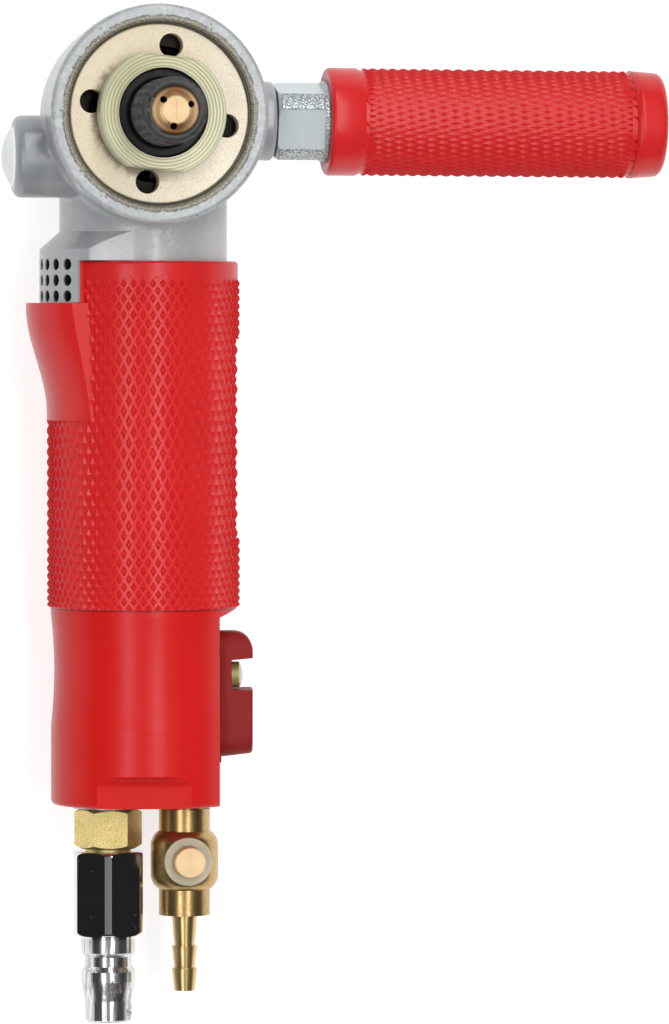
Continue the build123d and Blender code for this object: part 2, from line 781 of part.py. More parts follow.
def make_motor():
    """Vane motor, its end plates and the pinion on the rotor's shaft."""
    body = motor_bore
    seat = motor_start + rotor_front_width
    front = ring(body, rotor_front_bore + 2 * shaft_clearance, motor_start, cylinder_start)
    front -= disc(rotor_front_outer + 2 * seat_gap, motor_start, seat)
    parts["front_end_plate"] = handle_frame * front

    cylinder = disc(body, cylinder_start, cylinder_end)
    cylinder -= Pos(0, cylinder_offset, 0) * disc(cylinder_bore, cylinder_start, cylinder_end)
    for index in range(cylinder_ports):
        place = exhaust_start + cylinder_port_pitch * (index + 1)
        cylinder -= Pos(-body / 2, 0, place) * Box(body / 2, cylinder_port_width, cylinder_port_length)
    parts["motor_cylinder"] = handle_frame * cylinder

    rear_seat = motor_end - rotor_rear_width
    rear = ring(body, rotor_rear_bore + 2 * shaft_clearance, cylinder_end, motor_end)
    rear -= disc(rotor_rear_outer + 2 * seat_gap, rear_seat, motor_end)
    port_circle = (body + rotor_rear_outer) / 2
    port = Pos(port_circle / 2, 0, 0) * disc(plate_port_diameter, cylinder_end, motor_end)
    for index in range(plate_ports):
        rear -= Rot(0, 0, 180 + (index - (plate_ports - 1) / 2) * plate_port_pitch_angle) * port
    parts["rear_end_plate"] = handle_frame * rear

    start = cylinder_start + rotor_end_gap
    end = cylinder_end - rotor_end_gap
    rotor = disc(rotor_diameter, start, end)
    rotor += disc(rotor_front_bore, motor_start, start)
    rotor += disc(rotor_rear_bore, end, rear_seat + rotor_rear_width)
    pinion_front = small_end * (gear_pitch_radius + pinion_dedendum * sin(pinion_cone))
    rotor += disc(pinion_bore, pinion_front, motor_start)
    slot_middle = rotor_diameter / 2 - vane_depth / 2
    slot = Pos(slot_middle, 0, (start + end) / 2) * Box(vane_depth, vane_thickness, end - start)
    for cut in around(Pos(vane_gap, 0, 0) * slot, vane_count):
        rotor -= cut
    parts["rotor"] = handle_frame * rotor
    vane = Pos(slot_middle, 0, (start + end) / 2) * Box(
        vane_depth - 2 * vane_gap, vane_thickness - 2 * vane_gap, end - start)
    parts["rotor_vanes"] = handle_frame * group(around(vane, vane_count))

    pinion_tooth = tooth_thickness - gear_backlash + pinion_extra_thickness
    pinion = bevel_blank(pinion_cone, pinion_dedendum, pinion_bore + 2 * seat_gap, motor_start)
    pinion += bevel_teeth(pinion_teeth, pinion_cone, pinion_addendum, pinion_dedendum, pinion_tooth)
    parts["drive_pinion"] = handle_frame * pinion


def pyramid_bar(low, high):
    """Round bar covered with staggered rows of pyramids, each of four flat facets."""
    rows = round((high - low) / pyramid_row)
    tip_radius = sleeve_diameter / 2
    valley_radius = tip_radius - pyramid_height

    def spot(column, row, radius):
        angle = 2 * pi * column / pyramid_columns
        return Vector(radius * cos(angle), radius * sin(angle), low + (high - low) * row / rows)

    facets = []
    for row in range(rows + 1):
        for column in range(pyramid_columns):
            middle = column + (row % 2) / 2
            tip = spot(middle, row, tip_radius)
            left = spot(middle - 1 / 2, row, valley_radius)
            right = spot(middle + 1 / 2, row, valley_radius)
            for beside in (row - 1, row + 1):
                inside = 0 <= beside <= rows
                corner = spot(middle, beside, valley_radius) if inside else spot(0, row, 0)
                facets += [(left, corner, tip), (corner, right, tip)]
    return Solid(Shell([Face(Wire.make_polygon(corners)) for corners in facets]))


def make_sleeve():
    """Rubber sleeve with its pyramids and the flared hand guard under the exhaust grille."""
    outside = sleeve_diameter / 2
    guard_radius = guard_diameter / 2
    field_start = sleeve_start + sleeve_band
    field_end = sleeve_end - sleeve_foot
    band = disc(sleeve_diameter - 2 * sleeve_band_drop, sleeve_start, field_start)
    foot = disc(sleeve_diameter - 2 * pyramid_height, field_end, sleeve_end)
    sleeve = fillet(band.edges().sort_by(Axis.Z)[0], sleeve_edge) + pyramid_bar(field_start, field_end)
    sleeve += fillet(foot.edges().sort_by(Axis.Z)[-1], sleeve_edge)
    third = (guard_end - guard_start) / 3
    flare = Bezier(
        (guard_radius, guard_start), (guard_radius - guard_start_slope * third, guard_start + third),
        (outside + guard_end_slope * third, guard_end - third), (outside, guard_end))
    outline = flare + Polyline(
        (outside, guard_end), (tube_diameter / 2, guard_end), (tube_diameter / 2, guard_start),
        (guard_radius, guard_start))
    guard = Rot(0, 0, 90) * revolve(Plane.XZ * make_face(outline), Axis.Z, 180)
    for side in (1, -1):
        top_angle = radians(180 - side * guard_half_angle)
        end_angle = radians(180 - side * guard_end_half_angle)
        across = Vector(cos(top_angle), sin(top_angle), 0)
        top_corner = across * outside + Vector(0, 0, guard_start)
        end_corner = Vector(outside * cos(end_angle), outside * sin(end_angle), guard_end)
        inward = (end_corner - top_corner).cross(across) * side
        guard = split(guard, Plane(origin=top_corner, z_dir=inward), keep=Keep.TOP)
    sleeve += guard
    sleeve -= disc(tube_diameter + 2 * seat_gap, sleeve_start, sleeve_end)
    sleeve -= ring_sector(0, guard_diameter, sleeve_start, guard_start, 180, sleeve_cut_half_angle)
    grille_room = grille_diameter / 2 + seat_gap
    sleeve -= ring_sector(0, grille_room, guard_start, grille_end, 180, sleeve_pocket_half_angle)
    panel_floor = outside - panel_depth
    sleeve -= ring_sector(panel_floor, sleeve_diameter, panel_start, panel_end, 0, panel_half_angle)
    parts["grip_sleeve"] = handle_frame * sleeve


def make_inlet_housing():
    """Moulded end housing that carries the throttle, the air inlet and the water valve."""
    radius = inlet_diameter / 2
    waist_middle = sleeve_end + waist_start + waist_length / 2
    outer = Polyline(
        (radius, sleeve_end + waist_start + waist_length), (radius, inlet_end), (0, inlet_end),
        (0, sleeve_end), (radius, sleeve_end), (radius, sleeve_end + waist_start))
    waist = ThreePointArc(
        (radius, sleeve_end + waist_start), (radius - waist_depth, waist_middle),
        (radius, sleeve_end + waist_start + waist_length))
    body = revolve(Plane.XZ * make_face(outer + waist), Axis.Z)
    body = fillet(body.edges().sort_by(Axis.Z)[-1], inlet_edge)
    flat_edge = sleeve_end + side_flat_start
    beyond = Plane.XZ * make_face(Polyline(
        (inlet_side_flat, flat_edge + side_flat_runout), (radius, flat_edge), (2 * radius, flat_edge),
        (2 * radius, 2 * inlet_end), (inlet_side_flat, 2 * inlet_end), close=True))
    body -= extrude(beyond, radius, both=True)
    depth = radius - wrench_flats / 2
    flat_start = inlet_end - wrench_flat_length
    scoop = TangentArc((wrench_flats / 2, flat_start), (radius, flat_start - depth), tangent=(0, -1))
    scoop += Polyline(
        (radius, flat_start - depth), (radius, inlet_end), (wrench_flats / 2, inlet_end),
        (wrench_flats / 2, flat_start))
    scoop = extrude(Plane.YZ * make_face(scoop), radius, both=True)
    for cut in around(scoop, 2):
        body -= cut
    body += disc(motor_bore, motor_end, sleeve_end)
    body -= ring(chamber_diameter, spigot_neck, motor_end, motor_end + chamber_depth)
    groove_place = (motor_end + sleeve_end) / 2 + spigot_ring
    groove_middle = (motor_bore - spigot_ring) / 2 + seat_gap
    body -= Pos(0, 0, groove_place) * Torus(groove_middle, spigot_ring / 2 + seat_gap)
    parts["inlet_ring"] = handle_frame * o_ring(motor_bore - 2 * spigot_ring, spigot_ring, groove_place)

    air_hole = disc(air_passage, motor_end, inlet_end)
    air_hole += disc(nipple_thread + 2 * seat_gap, inlet_end - nipple_thread_depth, inlet_end)
    body -= Pos(air_inlet_x, 0, 0) * air_hole
    water_hole = disc(water_passage, water_turn_place, inlet_end)
    water_hole += disc(valve_thread + 2 * seat_gap, inlet_end - valve_thread_depth, inlet_end)
    body -= Pos(water_inlet_x, 0, 0) * water_hole
    bush_hole = disc(throttle_bush_diameter + 2 * seat_gap, -throttle_bush_reach, radius)
    body -= Pos(0, 0, throttle_place) * Rot(0, 90, 0) * bush_hole
    body = inlet_frame * body
    tube_axis = Pos(0, -water_tube_offset, 0)
    tube_hole = disc(water_tube_diameter + 2 * seat_gap, sleeve_end, sleeve_end + water_tube_lap)
    tube_hole += disc(water_passage, sleeve_end, water_turn_place)
    body -= handle_frame * (tube_axis * tube_hole)
    across = sqrt(valve_x ** 2 + (valve_y + water_tube_offset) ** 2)
    turn = degrees(atan2(valve_y + water_tube_offset, valve_x))
    cross = Rot(0, 0, turn) * Rot(0, 90, 0) * disc(water_passage, 0, across)
    cross = Pos(0, -water_tube_offset, water_turn_place) * cross
    parts["inlet_housing"] = body - handle_frame * cross


def make_throttle():
    """Rotary throttle: bush, stem with a cross port, lever, screw and leaf."""
    inner = -throttle_bush_reach
    bush_end = inlet_side_flat - throttle_bush_recess
    bush = ring(throttle_bush_diameter, throttle_stem_diameter + 2 * running_gap, inner, bush_end)
    port = Pos(0, 0, air_inlet_x) * Rot(0, 90, 0)
    bush -= port * Cylinder(throttle_port / 2, throttle_bush_diameter)
    parts["throttle_bush"] = throttle_frame * bush

    lever_base = inlet_side_flat + lever_base_gap
    floor = lever_base + lever_slot_floor
    square_end = floor - shaft_clearance
    stem = disc(throttle_stem_diameter, inner, lever_base)
    square = Rectangle(stem_square, stem_square)
    stem += Pos(0, 0, lever_base) * extrude(square, square_end - lever_base)
    stem -= Pos(0, 0, air_inlet_x) * Rot(90, 0, 0) * Cylinder(throttle_port / 2, throttle_stem_diameter)
    stem -= disc(throttle_screw_diameter + 2 * seat_gap, floor - throttle_screw_length, square_end)
    rings = []
    ring_bore = throttle_stem_diameter - 2 * stem_ring_section
    for place in (stem_ring_place, air_inlet_x + stem_ring_place):
        centre = throttle_stem_diameter / 2 - stem_ring_section / 2
        stem -= Pos(0, 0, place) * Torus(centre, stem_ring_section / 2 + seat_gap)
        rings.append(throttle_frame * o_ring(ring_bore, stem_ring_section, place))
    parts["throttle_stem"] = throttle_frame * stem
    parts["stem_rings"] = group(rings)

    # In this frame X runs up the handle, Y runs across the lever and Z stands out of the side flat
    top = lever_base + lever_height
    length = lever_above + lever_below
    bend = TangentArc(
        (lever_above, top - lever_top_round), (lever_above - lever_top_round, top), tangent=(0, 1))
    outline = bend + Polyline(
        (lever_above - lever_top_round, top), (lever_slot_above + lever_slot_draft, top),
        (lever_slot_above, floor), (-lever_slot_below, floor), (-lever_slot_below, top),
        (lever_end_draft - lever_below, top), (-lever_below, lever_base), (lever_above, lever_base),
        (lever_above, top - lever_top_round))
    lever = extrude(Plane.XZ * make_face(outline), lever_width / 2, both=True)
    plan = Pos(lever_above - length, 0, lever_base) * RectangleRounded(2 * length, lever_width, lever_corner)
    lever &= extrude(plan, lever_height)
    middles = [(edge, edge.center()) for edge in lever.edges()]
    low_end = [edge for edge, at in middles if at.X < lever_end_draft - lever_below]
    lever = fillet([edge for edge in low_end if abs(edge.center().Y) > lever_corner], lever_corner)
    outer_edges = lever.edges().group_by(Axis.Z)[-1]
    block_start = -lever_slot_below - lever_edge
    lever = fillet([edge for edge in outer_edges if edge.center().X < block_start], lever_edge)
    square_hole = Pos(0, 0, lever_base) * extrude(offset(square, seat_gap), square_end - lever_base + seat_gap)
    lever -= square_hole
    lever -= disc(throttle_screw_diameter + 2 * seat_gap, lever_base, floor)
    leaf_plan = Pos(-leaf_reach / 2, 0, lever_base) * Rectangle(leaf_reach, leaf_width)
    leaf_plan += Pos(0, 0, lever_base) * Circle(leaf_eye / 2)
    lever -= extrude(offset(leaf_plan, seat_gap), leaf_thickness + seat_gap)
    parts["throttle_lever"] = throttle_frame * lever
    parts["throttle_leaf"] = throttle_frame * (extrude(leaf_plan, leaf_thickness) - square_hole)

    head_top = floor + throttle_screw_head_height
    head_round = (throttle_screw_head ** 2 / 4 + throttle_screw_dome ** 2) / (2 * throttle_screw_dome)
    dome = Pos(0, 0, head_top + throttle_screw_dome - head_round) * Sphere(head_round)
    dome &= disc(throttle_screw_head, head_top, head_top + throttle_screw_dome)
    screw = disc(throttle_screw_diameter, floor - throttle_screw_length + shaft_clearance, floor)
    screw += disc(throttle_screw_head, floor, head_top) + dome
    screw -= Pos(0, 0, head_top) * Box(throttle_screw_head, screw_slot_width, 2 * throttle_screw_dome)
    parts["throttle_screw"] = throttle_frame * screw


def make_air_inlet():
    """Washer, brass nipple and quick-coupler plug."""
    frame = inlet_frame * Pos(air_inlet_x, 0, 0)
    washer = ring(washer_diameter, nipple_thread + 2 * seat_gap, inlet_end, nipple_start)
    parts["inlet_washer"] = frame * washer
    hex_end = nipple_start + nipple_hex_length
    nipple = disc(nipple_thread, inlet_end - nipple_thread_depth + seat_gap, nipple_start)
    nipple += hexagon(nipple_across_flats, nipple_start, hex_end, nipple_turn, hex_chamfer)
    socket_end = plug_start + plug_socket_depth
    nipple += disc(nipple_neck, hex_end, socket_end)
    nipple -= disc(nipple_bore, inlet_end - nipple_thread_depth, socket_end)
    parts["inlet_nipple"] = frame * nipple

    hex_tail = plug_start + plug_hex_length
    collar = plug_collar_diameter / 2
    groove = plug_groove_diameter / 2
    nose = plug_nose_diameter / 2
    collar_end = hex_tail + plug_collar_length
    groove_start = collar_end + plug_slope
    groove_end = groove_start + plug_groove_length
    bead_start = groove_end + plug_bead_slope
    bead_end = bead_start + plug_bead_length
    nose_start = bead_end + plug_taper_length
    nose_end = nose_start + plug_nose_length
    tail = turned(
        (0, hex_tail), (collar, hex_tail), (collar, collar_end), (groove, groove_start), (groove, groove_end),
        (collar, bead_start), (collar, bead_end), (nose, nose_start), (nose, nose_end - plug_nose_edge),
        (nose - plug_nose_edge, nose_end), (0, nose_end),
    )
    bar = fillet(disc(plug_diameter, plug_start, hex_tail).edges(), plug_end_round)
    flats = extrude(RegularPolygon(plug_across_flats / 2, 6, False, 30), plug_hex_length)
    plug = (bar & Pos(0, 0, plug_start) * flats) + tail
    plug -= disc(nipple_neck + 2 * seat_gap, plug_start, socket_end)
    plug -= disc(plug_bore, socket_end, nose_end)
    parts["air_plug"] = frame * plug


def make_water_valve():
    """Push-pull water valve with its spool, bushes and hose barb."""
    neck = valve_neck_diameter / 2
    belly = valve_body_diameter / 2
    body_end = valve_neck_length + valve_body_length
    tail_end = body_end + valve_tail_length
    belly_start = valve_neck_length + valve_shoulder
    belly_end = body_end - valve_shoulder
    outline = TangentArc((belly, belly_start), (neck, valve_neck_length), tangent=(0, -1))
    outline += Line((belly, belly_start), (belly, belly_end))
    outline += TangentArc((belly, belly_end), (neck, body_end), tangent=(0, 1))
    outline += Polyline(
        (neck, body_end), (neck, tail_end), (0, tail_end), (0, 0), (neck, 0), (neck, valve_neck_length))
    body = revolve(Plane.XZ * make_face(outline), Axis.Z)
    body += disc(valve_thread, -valve_gap - valve_thread_depth + seat_gap, 0)
    body -= disc(valve_port, -valve_gap - valve_thread_depth, tail_end)
    body -= disc(barb_thread + 2 * seat_gap, tail_end - barb_thread_depth, tail_end)
    bush_inner = valve_bush_face - valve_bush_thickness
    cross = disc(spool_land_diameter + 2 * running_gap, -bush_inner, bush_inner)
    seat = valve_bush_diameter + 2 * seat_gap
    cross += disc(seat, bush_inner, valve_body_diameter) + disc(seat, -valve_body_diameter, -bush_inner)
    body -= Pos(0, 0, spool_centre) * Rot(-90, 0, 0) * cross
    parts["water_valve_body"] = valve_frame * body

    bore = spool_diameter + 2 * running_gap
    bush = ring(valve_bush_diameter, bore, bush_inner, valve_bush_face)
    parts["valve_bush_front"] = spool_frame * bush
    parts["valve_bush_rear"] = spool_frame * (Rot(180, 0, 0) * bush)

    land = spool_land_diameter / 2
    land_top = bush_inner - running_gap
    land_low = running_gap - bush_inner + spool_stroke
    waist_top = land_top - spool_collar
    waist_low = waist_top - spool_waist_length
    rod = spool_diameter / 2
    waist = spool_waist_diameter / 2
    front = valve_bush_face + spool_stroke
    spool = turned(
        (0, -valve_bush_face), (rod, -valve_bush_face), (rod, land_low), (land, land_low), (land, waist_low),
        (waist, waist_low), (waist, waist_top), (land, waist_top), (land, land_top), (rod, land_top),
        (rod, front - spool_edge), (rod - spool_edge, front), (0, front),
    )
    centre = land - spool_ring_section / 2
    ring_bore = spool_land_diameter - 2 * spool_ring_section
    rings = []
    for place in ((land_low + waist_low) / 2, (waist_top + land_top) / 2):
        spool -= Pos(0, 0, place) * Torus(centre, spool_ring_section / 2 + seat_gap)
        rings.append(spool_frame * o_ring(ring_bore, spool_ring_section, place))
    parts["water_valve_spool"] = spool_frame * spool
    parts["spool_rings"] = group(rings)

    crest = barb_crest / 2
    valley = barb_valley / 2
    thread_top = tail_end - barb_thread_depth + seat_gap
    outline = [(0, thread_top), (barb_thread / 2, thread_top), (barb_thread / 2, tail_end)]
    outline += [(crest, tail_end), (valley, tail_end + barb_first)]
    for index in range(1, barb_count):
        place = tail_end + barb_first + (index - 1) * barb_pitch
        outline += [(crest, place), (valley, place + barb_pitch)]
    barb_end = tail_end + barb_first + (barb_count - 1) * barb_pitch
    barb = turned(*outline, (0, barb_end))
    barb -= disc(barb_bore, tail_end - barb_thread_depth, barb_end)
    parts["hose_barb"] = valve_frame * barb


make_spindle()
make_gear_housing()
make_head_fittings()
make_side_handle()
make_motor()
make_sleeve()
make_inlet_housing()
make_throttle()
make_air_inlet()
make_water_valve()
ball_bearing(
    "spindle_front", Location(), front_bearing_bore, front_bearing_outer, front_bearing_width,
    front_bearing_ball, front_bearing_balls, front_bearing_bottom)
ball_bearing(
    "spindle_rear", Location(), rear_bearing_bore, rear_bearing_outer, rear_bearing_width,
    rear_bearing_ball, rear_bearing_balls, rear_bearing_bottom)
ball_bearing(
    "rotor_front", handle_frame, rotor_front_bore, rotor_front_outer, rotor_front_width,
    rotor_front_ball, rotor_front_balls, motor_start)
ball_bearing(
    "rotor_rear", handle_frame, rotor_rear_bore, rotor_rear_outer, rotor_rear_width,
    rotor_rear_ball, rotor_rear_balls, motor_end - rotor_rear_width)

os.makedirs("parts", exist_ok=True)
for name, shape in parts.items():
    export_step(shape, f"parts/{name}.step")
print(len(parts), "nodes")
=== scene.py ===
# %% [markdown]
# # Dressing a pneumatic wet polisher
# This hand tool is driven by compressed air, and water runs through its spindle to the polishing pad.
# Its pieces arrive as solids at their real size, in one frame: the spindle points along +Z, the handle runs
# along -Y, and the side handle along +X. The solids stay where they are. This lesson cuts the rubber's
# pyramids and the spindle's thread, gives each piece the finish of the real one, and lights the result.

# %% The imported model
from math import cos, pi, radians, sin

import bmesh
import bpy
from mathutils import Matrix, Vector


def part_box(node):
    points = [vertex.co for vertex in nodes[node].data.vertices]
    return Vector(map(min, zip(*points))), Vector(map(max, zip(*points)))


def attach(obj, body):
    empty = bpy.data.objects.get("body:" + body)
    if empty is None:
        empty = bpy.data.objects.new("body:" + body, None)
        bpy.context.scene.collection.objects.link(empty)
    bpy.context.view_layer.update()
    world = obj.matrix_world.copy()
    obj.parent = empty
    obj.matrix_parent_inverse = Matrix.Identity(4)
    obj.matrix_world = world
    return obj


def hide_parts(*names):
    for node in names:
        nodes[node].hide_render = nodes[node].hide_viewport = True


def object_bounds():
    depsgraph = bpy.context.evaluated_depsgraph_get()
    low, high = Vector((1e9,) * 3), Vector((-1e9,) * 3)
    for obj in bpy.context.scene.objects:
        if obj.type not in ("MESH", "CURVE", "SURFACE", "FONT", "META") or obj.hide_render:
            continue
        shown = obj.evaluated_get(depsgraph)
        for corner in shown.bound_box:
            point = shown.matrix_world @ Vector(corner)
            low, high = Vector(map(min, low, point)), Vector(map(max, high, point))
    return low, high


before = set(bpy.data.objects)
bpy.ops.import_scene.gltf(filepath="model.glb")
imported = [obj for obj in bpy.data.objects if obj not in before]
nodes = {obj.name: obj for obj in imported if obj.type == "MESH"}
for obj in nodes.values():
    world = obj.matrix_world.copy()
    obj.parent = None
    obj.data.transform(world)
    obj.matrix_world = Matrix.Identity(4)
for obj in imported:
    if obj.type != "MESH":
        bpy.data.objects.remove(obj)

cad_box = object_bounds()
mm = 0.001
print(len(nodes), "nodes between", [[round(value, 4) for value in corner] for corner in cad_box])

# %% [markdown]
# ## Camera
# The tool lies on its back, and the camera looks down on the spindle, a little from the left. A camera can
# be aimed with a constraint, but a constraint chooses its own upward direction. Here the place, the
# direction of view and the upward direction are all known, so the three of them make the camera's matrix
# directly. The long lens keeps the handle's sides nearly parallel.

# %% Camera
camera_place = Vector((-0.2122, -0.0464, 1.5909))
camera_view = Vector((0.15692, -0.02976, -0.98716))
camera_up = Vector((0.00479, 0.99956, -0.02937))
camera_lens = 239.1


def add_camera():
    """Camera whose axes come from its direction of view and its upward direction."""
    back = -camera_view.normalized()
    right = camera_up.cross(back).normalized()
    axes = Matrix((right, back.cross(right), back)).transposed()
    camera = bpy.data.objects.new("camera", bpy.data.cameras.new("camera"))
    camera.data.lens = camera_lens
    camera.matrix_world = Matrix.Translation(camera_place) @ axes.to_4x4()
    bpy.context.scene.collection.objects.link(camera)
    bpy.context.scene.camera = camera
    return camera


camera = add_camera()
bpy.context.scene.view_settings.view_transform = "Standard"
print("camera at", [round(value, 3) for value in camera.location])

# %% [markdown]
# ## Shader maths as Python
# A finish is a graph of nodes. Adding and linking them one by one hides the idea behind a wall of calls, so
# a small class wraps a socket, and ordinary operators on it add Math nodes. Any other node comes from one
# method: it takes the node's type, its settings, which are set first, and its sockets' values or links.

# %% Wires and finishes
class Wire:
    """A value that varies over a surface. Operators on it add Math nodes."""

    def __init__(self, finish, socket):
        self.finish = finish
        self.socket = socket

    def maths(self, operation, first, second=0.0):
        return self.finish.node("ShaderNodeMath", {"operation": operation}, {0: first, 1: second})

    def __add__(self, other):
        return self.maths("ADD", self, other)

    def __radd__(self, other):
        return self.maths("ADD", other, self)

    def __sub__(self, other):
        return self.maths("SUBTRACT", self, other)

    def __rsub__(self, other):
        return self.maths("SUBTRACT", other, self)

    def __mul__(self, other):
        return self.maths("MULTIPLY", self, other)

    def __rmul__(self, other):
        return self.maths("MULTIPLY", other, self)

    def __pow__(self, power):
        return self.maths("POWER", self, power)

    def __abs__(self):
        return self.maths("ABSOLUTE", self)


class Graph:
    """A tree of nodes, with one method that adds any of them."""

    def __init__(self, owner, shader):
        owner.use_nodes = True
        self.tree = owner.node_tree
        self.shader = self.tree.nodes[shader]

    def node(self, kind, settings=None, sockets=None, output=0):
        node = self.tree.nodes.new(kind)
        for name, value in (settings or {}).items():
            setattr(node, name, value)
        for key, value in (sockets or {}).items():
            self.join(value, node.inputs[key])
        return Wire(self, node.outputs[output])

    def join(self, value, socket):
        if isinstance(value, Wire):
            self.tree.links.new(value.socket, socket)
        else:
            socket.default_value = value

    def feed(self, socket, value):
        self.join(value, self.shader.inputs[socket])


class Finish(Graph):
    """A material around one surface shader, with the values that are the same all over."""

    def __init__(self, name, uniform):
        self.material = bpy.data.materials.new(name)
        super().__init__(self.material, "Principled BSDF")
        for socket, value in uniform.items():
            self.feed(socket, value)


def srgb(red, green, blue):
    """Colour for a shader from the 0 to 255 numbers of a colour picker."""
    linear = [((part / 255 + 0.055) / 1.055) ** 2.4 for part in (red, green, blue)]
    return (*linear, 1.0)


print("colour picker red becomes", [round(part, 3) for part in srgb(205, 35, 35)])

# %% [markdown]
# ## Words for surfaces
# Every finish below is said in the same few words. Place is the point of the surface in millimetres in the
# part's own frame, so a pattern stays on its piece when the piece moves. Noise is uneven colour or texture,
# specks are scattered dots, ease turns a distance into a soft mask, and blend mixes two colours by a mask.

# %% Words for surfaces
def place(finish):
    """The point of the surface in millimetres, in the part's frame."""
    point = finish.node("ShaderNodeTexCoord", output="Object")
    return finish.node("ShaderNodeVectorMath", {"operation": "SCALE"}, {0: point, "Scale": 1000.0})


def along(finish, axis, origin=0.0):
    """One coordinate of the surface, in millimetres from an origin."""
    return finish.node("ShaderNodeSeparateXYZ", sockets={0: place(finish)}, output=axis) - origin


def noise(finish, size, detail=3.0, point=None):
    """Uneven value from 0 to 1 whose lumps are about size millimetres across."""
    sockets = {"Vector": point or place(finish), "Scale": 1 / size, "Detail": detail}
    return finish.node("ShaderNodeTexNoise", sockets=sockets)


def ease(finish, value, low, high):
    """Soft mask: 0 below low, 1 above high. With low above high it falls instead."""
    rising = low < high
    ends = {1: min(low, high), 2: max(low, high), 3: 0.0 if rising else 1.0, 4: 1.0 if rising else 0.0}
    return finish.node("ShaderNodeMapRange", {"interpolation_type": "SMOOTHSTEP"}, {0: value, **ends})


def specks(finish, spacing, size, share=1.0):
    """Scattered round dots, size millimetres across, in a share of the cells of the given spacing."""
    sockets = {"Vector": place(finish), "Scale": 1 / spacing}
    dots = finish.node("ShaderNodeTexVoronoi", sockets=sockets, output="Distance")
    cells = finish.node("ShaderNodeTexVoronoi", sockets=sockets, output="Color")
    chosen = finish.node("ShaderNodeSeparateColor", sockets={0: cells}, output="Red")
    reach = size / spacing / 2
    return ease(finish, dots, reach, reach * 0.4) * ease(finish, chosen, share + 0.01, share - 0.01)


def blend(finish, mask, first, second):
    """Colour that goes from the first to the second as the mask goes from 0 to 1."""
    return finish.node("ShaderNodeMix", {"data_type": "RGBA"}, {0: mask, 6: first, 7: second}, output=2)


def radius(first, second):
    """Distance from an axis, given the two coordinates across it."""
    return (first * first + second * second) ** 0.5


def emboss(finish, height, depth):
    """Small relief, depth millimetres high where the height is 1."""
    sockets = {"Height": height, "Distance": depth * mm, "Strength": 1.0}
    finish.feed("Normal", finish.node("ShaderNodeBump", sockets=sockets))


print("words for surfaces are ready")

# %% [markdown]
# ## Floor and sky
# A pale floor carries the tool. A bare white background could come from more light, but that would bleach
# the tool as well. Instead the floor adds a glow that is seen and lights nothing: it looks white and keeps
# the tool's shadow. The sky lights the tool as a soft dome, brighter on the right. What is seen of it is one
# studio, the same for the camera, for metal and through glass: white near the horizon and dark overhead, so
# that the flats of shiny metal that face up go nearly black.

# %% Floor and sky
floor_size = 6.0
floor_glow = 0.65


def grey(level):
    """Grey for a shader, from its brightness."""
    return (level, level, level, 1.0)


def seen_rays(graph):
    """1 for rays that see the background, from the camera, from metal or through glass; 0 for the rest."""
    camera, glossy, through = (graph.node("ShaderNodeLightPath", output=f"Is {kind} Ray")
                               for kind in ("Camera", "Glossy", "Transmission"))
    return ease(graph, camera + glossy + through, 0.0, 1.0)


def add_floor():
    """Pale floor at the tool's lowest point, with a glow that is seen but lights nothing."""
    finish = Finish("pale_floor", {"Roughness": 0.9, "Emission Strength": 1.0})
    finish.feed("Base Color", srgb(205, 205, 204))
    finish.feed("Emission Color", blend(finish, seen_rays(finish), grey(0.0), grey(floor_glow)))
    half = floor_size / 2
    mesh = bpy.data.meshes.new("floor")
    low = cad_box[0].z
    corners = [(-half, -half, low), (half, -half, low), (half, half, low), (-half, half, low)]
    mesh.from_pydata(corners, [], [(0, 1, 2, 3)])
    mesh.materials.append(finish.material)
    floor = bpy.data.objects.new("floor", mesh)
    bpy.context.scene.collection.objects.link(floor)


sky_left = 0.42
sky_right = 0.66
sky_reach = 0.8
overhead_dark = 0.015
overhead_top = 0.22
overhead_top_rise = (0.74, 0.88)
white_below = 0.1
dark_above = 0.2


def add_sky():
    """Dome that lights softly from the right, and is seen white at the horizon and dark overhead."""
    world = bpy.data.worlds.new("studio")
    bpy.context.scene.world = world
    sky = Graph(world, "Background")
    direction = sky.node("ShaderNodeTexCoord", output="Generated")
    rise = sky.node("ShaderNodeSeparateXYZ", sockets={0: direction}, output="Z")
    across = sky.node("ShaderNodeSeparateXYZ", sockets={0: direction}, output="X")
    soft = blend(sky, ease(sky, across, -sky_reach, sky_reach), grey(sky_left), grey(sky_right))
    overhead = blend(sky, ease(sky, rise, *overhead_top_rise), grey(overhead_dark), grey(overhead_top))
    studio = blend(sky, ease(sky, rise, dark_above, white_below), overhead, grey(1.0))
    sky.feed("Color", blend(sky, seen_rays(sky), soft, studio))


add_floor()
add_sky()
print("floor at", round(cad_box[0].z, 4), "sky from", sky_left, "to", sky_right)

# %% [markdown]
# ## Lamps
# The photographer's softboxes draw long soft streaks on the red. Round lamps would give short spots, so two
# long strip lamps lie along the handle, each at its own lean, and the camera doesn't see them.

# %% Lamps
lamp_target = Vector((0.0, -0.10, -0.03))
lamp_distance = 1.2


